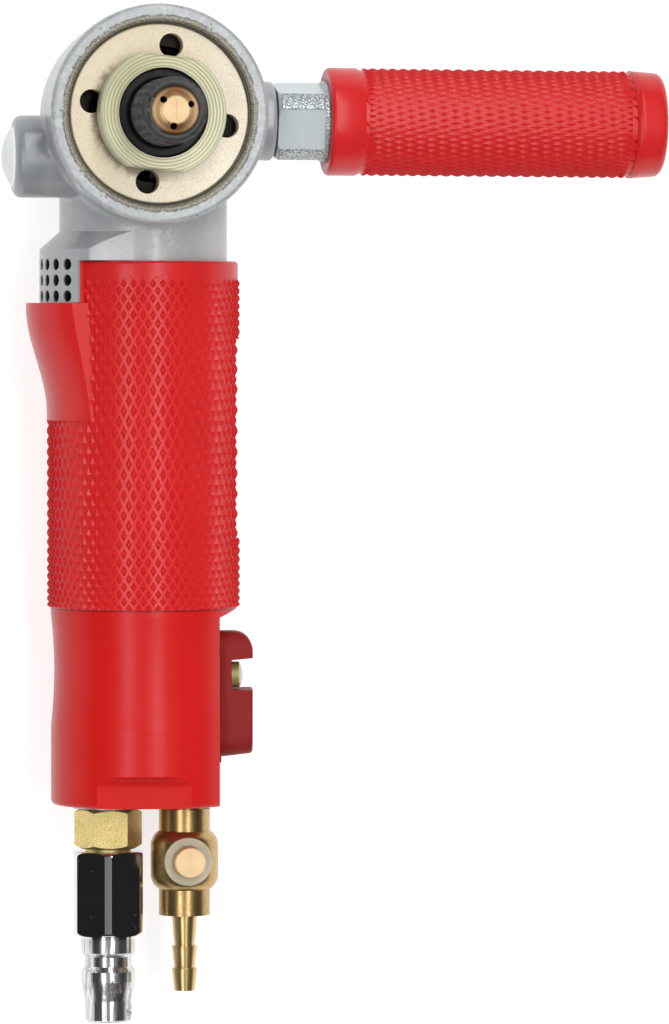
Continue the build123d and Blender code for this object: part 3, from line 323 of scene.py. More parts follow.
def add_lamp(name, lean, pitch, width, length, power):
    """Long soft lamp, leaning towards +X and pitched towards +Y, that lies along the handle and faces it."""
    lamp = bpy.data.objects.new(name, bpy.data.lights.new(name, "AREA"))
    lamp.data.shape = "RECTANGLE"
    lamp.data.size = width
    lamp.data.size_y = length
    lamp.data.energy = power
    lamp.visible_camera = False
    upright = Vector((sin(radians(lean)), 0.0, cos(radians(lean))))
    handle = Vector((0.0, 1.0, 0.0))
    out = upright * cos(radians(pitch)) + handle * sin(radians(pitch))
    lengthways = handle * cos(radians(pitch)) - upright * sin(radians(pitch))
    axes = Matrix((lengthways.cross(out), lengthways, out)).transposed()
    lamp.matrix_world = Matrix.Translation(lamp_target + out * lamp_distance) @ axes.to_4x4()
    bpy.context.scene.collection.objects.link(lamp)
    print(name, "leans", lean, "and pitches", pitch, "degrees")


add_lamp("left_softbox", lean=-27, pitch=-8, width=0.2, length=1.0, power=3.6)
add_lamp("right_softbox", lean=10, pitch=25, width=0.2, length=2.2, power=9.2)

# %% [markdown]
# ## Solids to cut with
# Rubber grips are moulded with rows of small pyramids, and a spindle has a thread cut on it. A displacement
# map could push a fine grid in and out, but its steps would blur every crest. Exact facets come from
# modelling the pattern as a closed solid and joining it with Booleans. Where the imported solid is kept, a
# copy of it leaves every edge and hole where it is, and only the pattern is new.

# %% Solids to cut with
def solid(name, verts, faces, to_part):
    """Closed mesh object, moved from its own axes into the part's frame."""
    mesh = bpy.data.meshes.new(name)
    mesh.from_pydata(verts, [], faces)
    mesh.transform(to_part)
    made = bpy.data.objects.new(name, mesh)
    bpy.context.scene.collection.objects.link(made)
    return made


def copy_of(node):
    """Copy of a piece's solid, welded so that it is closed."""
    mesh = nodes[node].data.copy()
    work = bmesh.new()
    work.from_mesh(mesh)
    bmesh.ops.remove_doubles(work, verts=work.verts, dist=1e-7)
    work.to_mesh(mesh)
    work.free()
    made = bpy.data.objects.new(node + "_dressed", mesh)
    bpy.context.scene.collection.objects.link(made)
    return made


def boolean(piece, operation, tool):
    """Joins, keeps or cuts a piece with a closed tool, which is used up."""
    step = piece.modifiers.new("step", "BOOLEAN")
    step.solver = "MANIFOLD"
    step.operation = operation
    step.object = tool
    bpy.context.view_layer.update()
    result = bpy.data.meshes.new_from_object(piece.evaluated_get(bpy.context.evaluated_depsgraph_get()))
    piece.modifiers.clear()
    piece.data = result
    bpy.data.objects.remove(tool)
    return piece


def skinned(name, loops, to_part):
    """Closed solid through a row of outlines, which all have the same number of points."""
    count = len(loops[0])
    verts = [point for loop in loops for point in loop]
    faces = [tuple(reversed(range(count))), tuple(range(len(verts) - count, len(verts)))]
    for base in range(0, len(verts) - count, count):
        for corner in range(count):
            following = (corner + 1) % count
            faces.append((base + corner, base + following, base + count + following, base + count + corner))
    return solid(name, verts, faces, to_part)


def disc(name, outside, low, high, to_part, sides=192):
    """Plain cylinder along its own Z axis."""
    angles = [2 * pi * side / sides for side in range(sides)]
    loops = [[(outside * cos(angle), outside * sin(angle), end) for angle in angles] for end in (low, high)]
    return skinned(name, loops, to_part)


def sector(inside, outside, centre, half_angle, place, steps=60):
    """Outline of a ring's sector at one place along the Z axis, with its angles in degrees."""
    angles = [radians(centre - half_angle + 2 * half_angle * step / steps) for step in range(steps + 1)]
    outer = [(outside * cos(angle), outside * sin(angle), place) for angle in angles]
    return outer + [(inside * cos(angle), inside * sin(angle), place) for angle in reversed(angles)]


def finish_piece(piece, node, body, crease=30):
    """Shows the dressed piece in place of its solid, with facets sharp and curves smooth."""
    mesh = piece.data
    mesh.materials.clear()
    mesh.shade_smooth()
    mesh.set_sharp_from_angle(angle=radians(crease))
    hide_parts(node)
    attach(piece, body)
    print(piece.name, len(mesh.polygons), "faces")


print("tools for solids are ready")

# %% [markdown]
# ## Diamond rows
# The pyramids stand in staggered rows, so each one has a diamond base and touches four neighbours. A narrow
# flat valley runs between them, and their tips are a little blunt, as a mould leaves them. Each diamond is
# drawn three times around its own centre: full size in the valley, smaller at the foot, and very small at
# the tip. The first and last rows are cut through their middle, because the mould's edge cuts them, and
# rings carry the bar on to its ends, so that the smooth bands belong to the same closed solid.

# %% Diamond rows
def row_places(start, end, first, middle, last):
    """Places of the rows from start to end, whose steps widen from first to middle and narrow to last."""
    places = [start]
    while places[-1] < end:
        share = 2 * (places[-1] - start) / (end - start) - 1
        edge = first if share < 0 else last
        places.append(places[-1] + middle + (edge - middle) * share * share)
    scale = (end - start) / (places[-1] - start)
    return [start + (spot - start) * scale for spot in places]


class DiamondBar:
    """Round bar around its own Z axis, covered with rows of pyramids and continued by rings to each end."""

    def __init__(self, places, columns, valley, crest, foot, tip):
        self.places = places
        self.columns = columns
        self.levels = ((1.0, valley), (foot, valley), (tip, crest))
        self.verts = []
        self.faces = []
        self.index = {}

    def vert(self, column, spot, height):
        key = (round(column * 1000) % (self.columns * 1000), round(spot * 1e7), round(height * 1e7))
        if key not in self.index:
            self.index[key] = len(self.verts)
            angle = 2 * pi * column / self.columns
            self.verts.append((height * cos(angle), height * sin(angle), spot))
        return self.index[key]

    def add(self, face, turned_over):
        corners = tuple(dict.fromkeys(face))
        if len(corners) > 2:
            self.faces.append(corners[::-1] if turned_over else corners)

    def side(self, centre, row, beside, step, levels):
        """Half of a pyramid, from the middle of its row to the next row, on one side of its middle."""
        spots = []
        for share, height in levels:
            tall = self.places[row] + (self.places[beside] - self.places[row]) * share
            spots.append((self.vert(centre + 0.5 * step * share, self.places[row], height),
                          self.vert(centre, tall, height)))
        spots.append((self.vert(centre, self.places[row], levels[-1][1]),) * 2)
        for (low, high), (next_low, next_high) in zip(spots, spots[1:]):
            self.add((low, next_low, next_high, high), (step > 0) == (beside > row))

    def bar_end(self, row, edge, outline):
        """Rings from the middle of the first or last row to that end, and the end's flat face."""
        foot, tip = self.levels[1][0], self.levels[2][0]
        valley = self.levels[0][1]
        across = [(-0.5, valley), (-0.5 * foot, valley), (-0.5 * tip, edge), (0.0, edge), (0.5 * tip, edge),
                  (0.5 * foot, valley)]
        profile = [(number + 0.5 * (row % 2) + column, height)
                   for number in range(self.columns) for column, height in across]
        loops = [[self.vert(column, self.places[row], height) for column, height in profile]]
        loops += [[self.vert(column, spot, height) for column, _ in profile] for height, spot in outline]
        loops.append([len(self.verts)] * len(profile))
        self.verts.append((0.0, 0.0, outline[-1][1]))
        for near, far in zip(loops, loops[1:]):
            for spot in range(len(profile)):
                after = (spot + 1) % len(profile)
                self.add((near[spot], near[after], far[after], far[spot]), row == 0)


def diamond_bar(name, bar, ends, to_part):
    """Closed solid of the bar. Each end gives the height of its half row, and rings of (radius, place)."""
    last = len(bar.places) - 1
    for row in range(last + 1):
        for number in range(bar.columns):
            centre = number + 0.5 * (row % 2)
            edge = {0: ends[0][0], last: ends[1][0]}.get(row, bar.levels[2][1])
            levels = (*bar.levels[:2], (bar.levels[2][0], edge))
            for beside in (row - 1, row + 1):
                if 0 <= beside <= last:
                    bar.side(centre, row, beside, -1, levels)
                    bar.side(centre, row, beside, 1, levels)
    bar.bar_end(0, *ends[0])
    bar.bar_end(last, *ends[1])
    return solid(name, bar.verts, bar.faces, to_part)


print("five rows would stand at", row_places(0.0, 8.0, 1.5, 2.5, 1.5))

# %% [markdown]
# ## Rubber sleeve on the handle
# The sleeve is one rubber moulding: a smooth band at the top, a field of pyramids, a smooth hand guard that
# flares out under the exhaust grille, and a sunk panel on the far side. Its solid shows the field with a few
# large facets, so the fine field is built anew. One bar carries the pyramids and the bands. The guard is
# skinned through a row of outlines whose height falls in an S, and a narrow lip borders the cut-out at the
# grille. Then the bore, the panel, the cut-out and the room for the grille's end are taken out.

# %% Rubber sleeve
sleeve_low, sleeve_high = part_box("grip_sleeve")
crest = 23.3 * mm
handle_z = cad_box[0].z + crest
sleeve_start = -sleeve_high.y
sleeve_end = -sleeve_low.y
handle_frame = Matrix(((1, 0, 0, 0), (0, 0, -1, 0), (0, 1, 0, handle_z), (0, 0, 0, 1)))
pyramid_height = 0.6 * mm
pyramid_foot = 0.66
pyramid_tip = 0.13
pyramid_columns = 61
pyramid_rows = (1.7 * mm, 2.58 * mm, 1.62 * mm)
top_band = 3.7 * mm
top_band_drop = 0.45 * mm
bottom_band = 0.5 * mm
band_round = 0.8 * mm
band_edge = 0.15 * mm
sleeve_bore = 20.22 * mm
panel_floor = 21.8 * mm
panel_start = 53.5 * mm
panel_end = 101.5 * mm
panel_half_angle = 20.0
grille_end = 47.5 * mm
grille_room = 25.02 * mm
grille_half_angle = 44.3
grille_room_half_angle = 42.0
guard_start = 44.8 * mm
guard_end = 73.0 * mm
guard_height = 5.05 * mm
guard_bulge = 7.5 * mm
guard_half_angle = 41.4
guard_end_half_angle = 50.3
guard_wall = (6.5 * mm, 0.8 * mm)
guard_sweep_start = 0.04
guard_sweep_length = 0.89
guard_rows = 32
guard_arc_steps = 60
lip_angle = 44.3
lip_height = 24.2 * mm
lip_bevel = ((0.8 * mm, 0.2 * mm), (1.4 * mm, 0.9 * mm))
rubber_crease = 18


def guard_outline(share):
    """Outline of the guard at a share of its length: an arc that bulges to the left, and two end walls."""
    sweep = min(1.0, max(0.0, (share - guard_sweep_start) / guard_sweep_length))
    flare = 1 - sweep * sweep * (3 - 2 * sweep)
    centre = guard_bulge * flare
    bend = crest + guard_height * flare - centre
    half_angle = guard_half_angle + (guard_end_half_angle - guard_half_angle) * share
    place = guard_start + (guard_end - guard_start) * share
    points = []
    for step in range(guard_arc_steps + 1):
        angle = radians(180 - half_angle + 2 * half_angle * step / guard_arc_steps)
        out = (bend ** 2 - (centre * sin(angle)) ** 2) ** 0.5 - centre * cos(angle)
        points.append((out * cos(angle), out * sin(angle), place))
    inward, lower = guard_wall
    points.append((points[-1][0] + inward, points[-1][1] + lower, place))
    points.append((points[0][0] + inward, points[0][1] - lower, place))
    return points


def guard_block():
    """Hand guard, whose height falls in an S-shaped sweep while it widens."""
    outlines = [guard_outline(row / guard_rows) for row in range(guard_rows + 1)]
    return skinned("guard", outlines, handle_frame)


def lip_block(side):
    """Narrow raised lip along the cut-out. Side is 1 for the upper edge, -1 for the lower."""
    angle = radians(180 - lip_angle)
    edge = (lip_height * cos(angle), lip_height * sin(angle))
    corners = [edge, *((edge[0] + inward, edge[1] - lower) for inward, lower in lip_bevel),
               (-0.65 * crest, 0.62 * crest), (0.9 * crest * cos(angle), 0.9 * crest * sin(angle))]
    loops = [[(x, side * y, place) for x, y in corners[::-side]] for place in (sleeve_start, guard_start)]
    return skinned("lip", loops, handle_frame)


def sector_block(name, inside, outside, low, high, centre, half_angle):
    """Block between two radii, two angles and two places along the handle."""
    loops = [sector(inside, outside, centre, half_angle, place) for place in (low, high)]
    return skinned(name, loops, handle_frame)


def make_sleeve():
    """Sleeve with its pyramids, bands, panel, cut-out and guard."""
    field_start = sleeve_start + top_band
    places = row_places(field_start, sleeve_end - bottom_band, *pyramid_rows)
    valley = crest - pyramid_height
    band = crest - top_band_drop
    turns = [pi / 2 * step / 6 for step in range(7)]
    round_edge = [(band - band_round * (1 - cos(turn)), sleeve_start + band_round * (1 - sin(turn)))
                  for turn in turns]
    bar = DiamondBar(places, pyramid_columns, valley, crest, pyramid_foot, pyramid_tip)
    ends = ((band, [(band, field_start), (band, field_start - band_edge), *round_edge]),
            (crest, [(valley, sleeve_end)]))
    sleeve = diamond_bar("grip_sleeve_dressed", bar, ends, handle_frame)
    boolean(sleeve, "UNION", guard_block())
    for side in (1, -1):
        boolean(sleeve, "UNION", lip_block(side))
    above = sleeve_start - mm
    far = 2 * crest
    near = crest / 2
    for block in (disc("bore", sleeve_bore, above, sleeve_end + mm, handle_frame),
                  sector_block("panel", panel_floor, far, panel_start, panel_end, 0, panel_half_angle),
                  sector_block("cut_out", near, far, above, guard_start, 180, grille_half_angle),
                  sector_block("room", near, grille_room, guard_start - mm, grille_end, 180,
                               grille_room_half_angle)):
        boolean(sleeve, "DIFFERENCE", block)
    finish_piece(sleeve, "grip_sleeve", "housing", rubber_crease)


make_sleeve()

# %% [markdown]
# ## Rubber grip of the side handle
# The side handle's grip has the same kind of pattern, with long flat diamonds that lie along the handle,
# and a smooth band at each end. Its axis leans a little, so its own frame has that lean, and the same
# functions work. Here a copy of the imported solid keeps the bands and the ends, and the bar cuts the field.

# %% Side grip
grip_low, grip_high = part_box("side_handle_grip")
side_y = -0.9 * mm
side_z = (grip_low.z + grip_high.z) / 2
side_lean = radians(-0.34)
side_axes = Matrix(((0, 0, 1, 0), (1, 0, 0, side_y), (0, 1, 0, side_z), (0, 0, 0, 1)))
side_frame = side_axes @ Matrix.Rotation(side_lean, 4, "Y")
grip_crest = 12.96 * mm
grip_height = 0.6 * mm
grip_band = 9.25 * mm
grip_foot = 0.68
grip_tip = 0.12
grip_columns = 55
grip_rows = (2.4 * mm, 2.91 * mm, 2.39 * mm)


def make_side_grip():
    """Grip with long diamonds between its smooth bands."""
    clear = grip_crest + 2 * mm
    places = row_places(grip_low.x + grip_band, grip_high.x - grip_band, *grip_rows)
    valley = grip_crest - grip_height
    bar = DiamondBar(places, grip_columns, valley, grip_crest, grip_foot, grip_tip)
    ends = ((grip_crest, [(clear, places[0]), (clear, grip_low.x - mm)]),
            (grip_crest, [(clear, places[-1]), (clear, grip_high.x + mm)]))
    diamonds = diamond_bar("diamonds", bar, ends, side_frame)
    grip = boolean(copy_of("side_handle_grip"), "INTERSECT", diamonds)
    finish_piece(grip, "side_handle_grip", "housing", rubber_crease)


make_side_grip()

# %% [markdown]
# ## Thread of the spindle
# The pad screws onto a coarse inch thread, eleven turns to the inch. A thread could be faked with rings, but
# its slope shows beside the flange. So a V-shaped ribbon is wound along a helix into one closed solid, and
# cut out of a copy of the spindle.

# %% Spindle thread
thread_pitch = 25.4 * mm / 11
thread_radius = 15.875 * mm / 2
thread_depth = 0.6 * thread_pitch
thread_start = -2.0 * mm
thread_mouth = 0.44 * thread_pitch
thread_root = 0.06 * thread_pitch
thread_over = 0.15 * thread_pitch
thread_turn_steps = 72


def thread_groove():
    """Helical V groove from just under the flange's face to past the spindle's tip."""
    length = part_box("spindle")[1].z + thread_pitch - thread_start
    slope = (thread_mouth - thread_root) / thread_depth
    deep = thread_radius - thread_depth
    wide = thread_radius + thread_over
    mouth = thread_mouth + slope * thread_over
    section = [(deep, thread_root), (wide, mouth), (wide, -mouth), (deep, -thread_root)]
    loops = []
    for step in range(int(length / thread_pitch * thread_turn_steps) + 1):
        angle = 2 * pi * step / thread_turn_steps
        rise = thread_start + thread_pitch * step / thread_turn_steps
        loops.append([(out * cos(angle), out * sin(angle), rise + up) for out, up in section])
    return skinned("groove", loops, Matrix.Identity(4))


spindle = boolean(copy_of("spindle"), "DIFFERENCE", thread_groove())
finish_piece(spindle, "spindle", "spindle_unit")

# %% [markdown]
# ## Dressing a piece
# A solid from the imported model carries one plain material. Its finish is swapped in that slot, which leaves
# the mesh as it is. Pieces of the same stuff share one finish.

# %% Dressing
def dress(finish, *names):
    """Gives a finish to solids and dressed pieces by name."""
    for name in names:
        mesh = bpy.data.objects[name].data
        mesh.materials.clear()
        mesh.materials.append(finish.material)
    print(finish.material.name, "on", ", ".join(names))


print("finishes can be given by name")

# %% [markdown]
# ## Painted casting
# The head, the neck and the motor tube are one aluminium casting under semi-gloss grey paint. Handling
# leaves pits and dark specks on its rim, and grease from the gears creeps out where the retaining ring is
# screwed in. A picture could be wrapped around it, but masks built from the distance to the spindle's axis
# put the grime exactly on the rim, and a mask around the handle's axis puts painted shade in the grille's
# holes. Painted shade also darkens the gap beside the ring and the left boss, and painted light brightens
# the neck.

# %% Painted casting
rim_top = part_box("gear_housing")[1].z / mm
ring_radius = (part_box("bearing_retainer")[1].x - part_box("bearing_retainer")[0].x) / 2 / mm


def grille_hole_shade(finish):
    """1 inside the exhaust grille's holes, whose walls get painted shade from the dark chamber behind them.
    """
    x = along(finish, "X")
    up = along(finish, "Z", handle_z / mm)
    out = radius(x, up)
    skin = ease(finish, out, 24.8, 24.5) * ease(finish, out, 20.4, 20.6)
    near = ease(finish, abs(up) + 0.85 * x, 0.3, -0.1)
    below = ease(finish, along(finish, "Y"), -33.0, -33.5)
    return skin * near * below * ease(finish, along(finish, "Y"), -46.5, -46.0)


def painted_casting():
    """Semi-gloss grey paint with pits and ripples, grime around the retaining ring, painted shade in the
    ring's gap, on the left boss and in the grille's holes, and painted light on the neck.
    """
    finish = Finish("painted_casting", {"Coat Weight": 0.45, "Coat Roughness": 0.16, "Metallic": 0.1})
    x = along(finish, "X")
    out = radius(x, along(finish, "Y"))
    on_rim = ease(finish, along(finish, "Z"), rim_top - 1.4, rim_top - 0.5)
    fine = noise(finish, 0.35, 4.0)
    paint = blend(finish, noise(finish, 14.0), srgb(160, 164, 167), srgb(176, 179, 181))
    # painted light: the neck's paint is lighter below the head
    painted_neck_light = ease(finish, along(finish, "Y"), -22.0, -28.0) * ease(finish, x, -16.0, -12.0)
    paint = blend(finish, painted_neck_light, paint, srgb(190, 193, 194))
    # painted shade on the left boss, which sits under the head
    paint = blend(finish, ease(finish, x, -24.0, -28.0), paint, srgb(143, 147, 150))
    paint = blend(finish, noise(finish, 0.5) * 0.4, paint, srgb(140, 143, 145))
    rubbed = ease(finish, noise(finish, 1.3), 0.45, 0.7) * 0.5 * on_rim
    paint = blend(finish, rubbed, paint, srgb(196, 198, 199))
    ragged = out + 0.9 * (noise(finish, 0.7, 5.0) - 0.5)
    grime = ease(finish, ragged, ring_radius + 1.8, ring_radius + 1.6) * on_rim
    grease = blend(finish, ease(finish, fine, 0.35, 0.65), srgb(156, 150, 130), srgb(88, 79, 58))
    paint = blend(finish, grime * 0.9, paint, grease)
    border = ease(finish, abs(ragged - ring_radius - 1.75), 0.3, 0.1)
    border = border * ease(finish, noise(finish, 3.0), 0.4, 0.5)
    paint = blend(finish, border * on_rim * 0.8, paint, srgb(62, 57, 46))
    # painted shade in the gap beside the retaining ring
    gap_shade = ease(finish, out, ring_radius + 0.4, ring_radius + 0.25) * on_rim
    paint = blend(finish, gap_shade, paint, srgb(30, 26, 18))
    worn = ease(finish, noise(finish, 7.0), 0.4, 0.55) * on_rim
    pits = specks(finish, 1.2, 0.62, 0.4) * worn + specks(finish, 4.0, 0.5, 0.35) * 0.8
    paint = blend(finish, pits * 0.9, paint, srgb(70, 70, 68))
    # painted shade inside the grille's holes
    paint = blend(finish, grille_hole_shade(finish), paint, srgb(46, 49, 49))
    finish.feed("Base Color", paint)
    finish.feed("Roughness", 0.32 + 0.14 * noise(finish, 3.0) + 0.2 * grime)
    at_neck = ease(finish, abs(along(finish, "Y", -28.5)), 6.0, 1.5)
    ripples = noise(finish, 2.4, 2.0) * (1.0 + 4.0 * at_neck)
    emboss(finish, ripples + 0.4 * noise(finish, 0.6) - 0.8 * pits, 0.1)
    return finish


dress(painted_casting(), "gear_housing", "rear_cover")

# %% [markdown]
# ## Retaining ring and flange
# Both are turned steel with a thin zinc coat: cream-gold on the ring, yellow-green on the flange. The lathe
# leaves fine rings around the axis. They are too shallow to model, so a ripple of the distance to the axis
# tints and embosses them.

# %% Retaining ring and flange
def gold_zinc():
    """Cream-gold zinc with fine speckle, painted light on its right and lower side, painted shadow mixed with
    dirt beside the flange, and painted shade at its outer edge.
    """
    finish = Finish("gold_zinc", {"Metallic": 0.3})
    x = along(finish, "X")
    y = along(finish, "Y")
    out = radius(x, y)
    # painted light: the zinc is lighter towards the right and the bottom
    painted_light_side = ease(finish, x - 0.6 * y, -14.0, 16.0)
    zinc = blend(finish, painted_light_side, srgb(226, 213, 188), srgb(250, 241, 222))
    zinc = blend(finish, noise(finish, 6.0) * 0.5, zinc, srgb(228, 214, 188))
    speckle = ease(finish, noise(finish, 0.28, 3.0), 0.45, 0.72) * 0.55
    zinc = blend(finish, speckle, zinc, srgb(196, 180, 150))
    # painted shadow of the flange, mixed with dirt, on the ring's left side
    shade_and_dirt_side = ease(finish, x + 0.45 * y, 2.0, -12.0)
    shadow_and_dirt_smear = ease(finish, out + 3.5 * (noise(finish, 1.6, 4.0) - 0.5), 17.2, 14.6) * shade_and_dirt_side
    zinc = blend(finish, shadow_and_dirt_smear * 0.8, zinc, srgb(104, 88, 58))
    dots = specks(finish, 1.5, 0.36, 0.3) * ease(finish, noise(finish, 5.0) + 0.25 * shade_and_dirt_side, 0.5, 0.65)
    zinc = blend(finish, dots * 0.9, zinc, srgb(44, 38, 30))
    # painted shade in the gap along the ring's outer edge
    edge = ease(finish, out, ring_radius - 0.45, ring_radius - 0.1)
    zinc = blend(finish, edge * 0.85, zinc, srgb(66, 55, 36))
    finish.feed("Base Color", zinc)
    finish.feed("Roughness", 0.44 + 0.2 * noise(finish, 0.8))
    emboss(finish, noise(finish, 0.35, 2.0), 0.02)
    return finish


def wave(finish, value, pitch):
    """Even ripple from 0 to 1 with the given pitch."""
    turn = value * (2 * pi / pitch)
    return 0.5 + 0.5 * finish.node("ShaderNodeMath", {"operation": "SINE"}, {0: turn})


flange_radius = (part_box("spindle_flange")[1].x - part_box("spindle_flange")[0].x) / 2 / mm


def green_zinc():
    """Yellow-green zinc with lathe rings, painted sheen in lighter and darker sectors, painted light on its
    right side, and a painted highlight on its edge.
    """
    finish = Finish("green_zinc", {"Metallic": 0.4})
    x = along(finish, "X")
    y = along(finish, "Y")
    out = radius(x, y)
    uneven = out + 0.12 * noise(finish, 6.0)
    rings = wave(finish, uneven, 0.78) * (0.5 + 0.5 * wave(finish, uneven, 0.29))
    # painted sheen: lighter and darker sectors around the axis
    painted_sheen_sectors = 0.5 + 0.5 * (x * y) * (x * x + y * y) ** -1.0
    zinc = blend(finish, painted_sheen_sectors, srgb(178, 176, 142), srgb(208, 206, 174))
    # painted light: the zinc is lighter towards the right
    zinc = blend(finish, ease(finish, x - y, -4.0, 14.0) * 0.6, zinc, srgb(226, 224, 194))
    zinc = blend(finish, rings * 0.75, zinc, srgb(140, 139, 96))
    # painted highlight on the flange's outer edge
    edge = ease(finish, out, flange_radius - 0.7, flange_radius - 0.35)
    zinc = blend(finish, edge * 0.6, zinc, srgb(214, 214, 190))
    finish.feed("Base Color", zinc)
    finish.feed("Roughness", 0.36 + 0.14 * rings)
    emboss(finish, rings, 0.03)
    return finish


dress(gold_zinc(), "bearing_retainer")
dress(green_zinc(), "spindle_flange")

# %% [markdown]
# ## Black pieces
# The spindle is blackened steel, with small bright scratches where pads have been screwed on. The seal in
# the flange is black rubber. Paint alone could make both black, but what tells them apart is how sharply
# they shine, so the steel is partly metallic and its crests are worn, and the rubber is neither.

# %% Black pieces
def black_steel():
    """Blackened steel with worn crests and light specks."""
    finish = Finish("black_steel", {"Metallic": 0.5})
    out = radius(along(finish, "X"), along(finish, "Y"))
    crests = ease(finish, out, thread_radius / mm - 0.25, thread_radius / mm)
    worn = crests * ease(finish, noise(finish, 1.4), 0.45, 0.7)
    steel = blend(finish, noise(finish, 2.0), srgb(60, 61, 60), srgb(80, 81, 79))
    steel = blend(finish, worn * 0.5, steel, srgb(120, 122, 126))
    steel = blend(finish, specks(finish, 2.2, 0.25, 0.3) * 0.8, steel, srgb(170, 170, 170))
    finish.feed("Base Color", steel)
    finish.feed("Roughness", 0.36 + 0.2 * noise(finish, 1.0))
    emboss(finish, noise(finish, 0.4), 0.02)
    return finish


def black_rubber():
    """Matt black rubber with a faint bloom."""
    finish = Finish("black_rubber", {"Specular IOR Level": 0.45})
    finish.feed("Base Color", blend(finish, noise(finish, 3.0), srgb(18, 18, 19), srgb(34, 34, 35)))
    finish.feed("Roughness", 0.42 + 0.2 * noise(finish, 1.5))
    emboss(finish, noise(finish, 0.5, 2.0), 0.02)
    return finish


dress(black_steel(), "spindle_dressed", "throttle_leaf", "cover_screws")
dress(black_rubber(), "flange_seal", "spindle_seal", "feed_seal", "stem_rings", "spool_rings", "inlet_ring")

# %% [markdown]
# ## Red rubber and plastic
# The two grips are red rubber, moulded and a little matt. The inlet housing is harder and shinier plastic,
# with a thin parting line where the two halves of its mould met. The throttle lever is a darker, matt red.
# A red without any change looks like a toy, so each has slow patches and fine grain, and the rubber has
# some dust.

# %% Red rubber
def red_rubber():
    """Moulded red rubber with a soft shine and a little dust."""
    finish = Finish("red_rubber", {"Specular IOR Level": 0.36})
    red = blend(finish, noise(finish, 18.0), srgb(204, 26, 28), srgb(214, 33, 35))
    red = blend(finish, specks(finish, 9.0, 0.25, 0.15) * 0.7, red, srgb(238, 190, 180))
    finish.feed("Base Color", red)
    finish.feed("Roughness", 0.24 + 0.12 * noise(finish, 1.6))
    emboss(finish, noise(finish, 0.25, 2.0), 0.004)
    return finish


dress(red_rubber(), "grip_sleeve_dressed", "side_handle_grip_dressed")

# %% Red plastic
housing_turn = radians(7.0)
housing_top = sleeve_low.y / mm


def red_plastic():
    """Shiny moulded plastic with a faint parting line along its length, and painted shade mixed with dirt at
    its joint with the sleeve.
    """
    finish = Finish("red_plastic", {"Specular IOR Level": 0.27})
    across = along(finish, "X") * cos(housing_turn) + along(finish, "Z", handle_z / mm) * sin(housing_turn)
    line = ease(finish, abs(across), 0.3, 0.05)
    red = blend(finish, noise(finish, 20.0), srgb(200, 18, 17), srgb(209, 23, 21))
    red = blend(finish, line * 0.3, red, srgb(176, 20, 20))
    # painted shade, mixed with dirt, in the joint under the sleeve
    joint_shade_and_dirt = ease(finish, along(finish, "Y", housing_top), -0.5, -0.2)
    red = blend(finish, joint_shade_and_dirt * 0.6, red, srgb(104, 12, 14))
    finish.feed("Base Color", red)
    finish.feed("Roughness", 0.26 + 0.1 * noise(finish, 4.0))
    emboss(finish, 0.4 * noise(finish, 3.0, 2.0) + 0.25 * line, 0.02)
    return finish


def dark_red_plastic():
    """Darker matt plastic of the throttle lever."""
    finish = Finish("dark_red_plastic", {"Specular IOR Level": 0.16})
    finish.feed("Base Color", blend(finish, noise(finish, 6.0), srgb(130, 27, 29), srgb(146, 35, 37)))
    finish.feed("Roughness", 0.42 + 0.16 * noise(finish, 0.8))
    emboss(finish, noise(finish, 0.35, 2.0), 0.012)
    return finish


dress(red_plastic(), "inlet_housing")
dress(dark_red_plastic(), "throttle_lever")

# %% [markdown]
# ## Brass
# The nozzle, the nipple, the water valve and the hose barb are all brass, but they are finished differently:
# the barb is turned bright, the valve is tumbled satin, the nipple keeps its drawn, speckled flats, and the
# nozzle and the valve's pin show the lathe's rings. One function takes the colour, the shine and the grain.

# %% Brass
def brass(name, light, dark, shine, grain, speckle):
    """Brass between two colours; shine is its roughness and grain the size of its texture."""
    finish = Finish(name, {"Metallic": 0.94})
    metal = blend(finish, noise(finish, 4.0), light, dark)
    stains = ease(finish, noise(finish, grain, 3.0), 0.5, 0.68) * speckle
    metal = blend(finish, stains, metal, srgb(92, 70, 34))
    finish.feed("Base Color", metal)
    finish.feed("Roughness", shine + shine * 0.5 * noise(finish, grain))
    emboss(finish, noise(finish, grain, 2.0), 0.015)
    return finish


def lathe_brass(name, centre, light, dark, pitch, flat_above):
    """Turned brass with rings around an upright axis, painted sheen in light sectors, and a pale flat end."""
    finish = Finish(name, {"Metallic": 0.5})
    x = along(finish, "X", centre[0] / mm)
    y = along(finish, "Y", centre[1] / mm)
    out = radius(x, y)
    rings = wave(finish, out + 0.06 * noise(finish, 2.0), pitch)
    # painted sheen: light and dark sectors around the axis
    painted_sheen_sectors = 0.5 + 0.5 * (x * x - y * y) * (x * x + y * y + 0.01) ** -1.0
    metal = blend(finish, painted_sheen_sectors, dark, light)
    flat = ease(finish, along(finish, "Z"), flat_above / mm - 0.12, flat_above / mm - 0.04)
    metal = blend(finish, flat * 0.8, metal, srgb(238, 206, 160))
    scratch = ease(finish, abs(x - 0.12 * noise(finish, 1.0)), 0.12, 0.03) * ease(finish, out, 2.6, 2.2)
    metal = blend(finish, (rings * 0.3 + scratch * 0.4) * (1.0 - 0.4 * flat), metal, dark)
    finish.feed("Base Color", metal)
    finish.feed("Roughness", 0.3 + 0.12 * rings + 0.1 * flat)
    emboss(finish, rings, 0.012)
    return finish


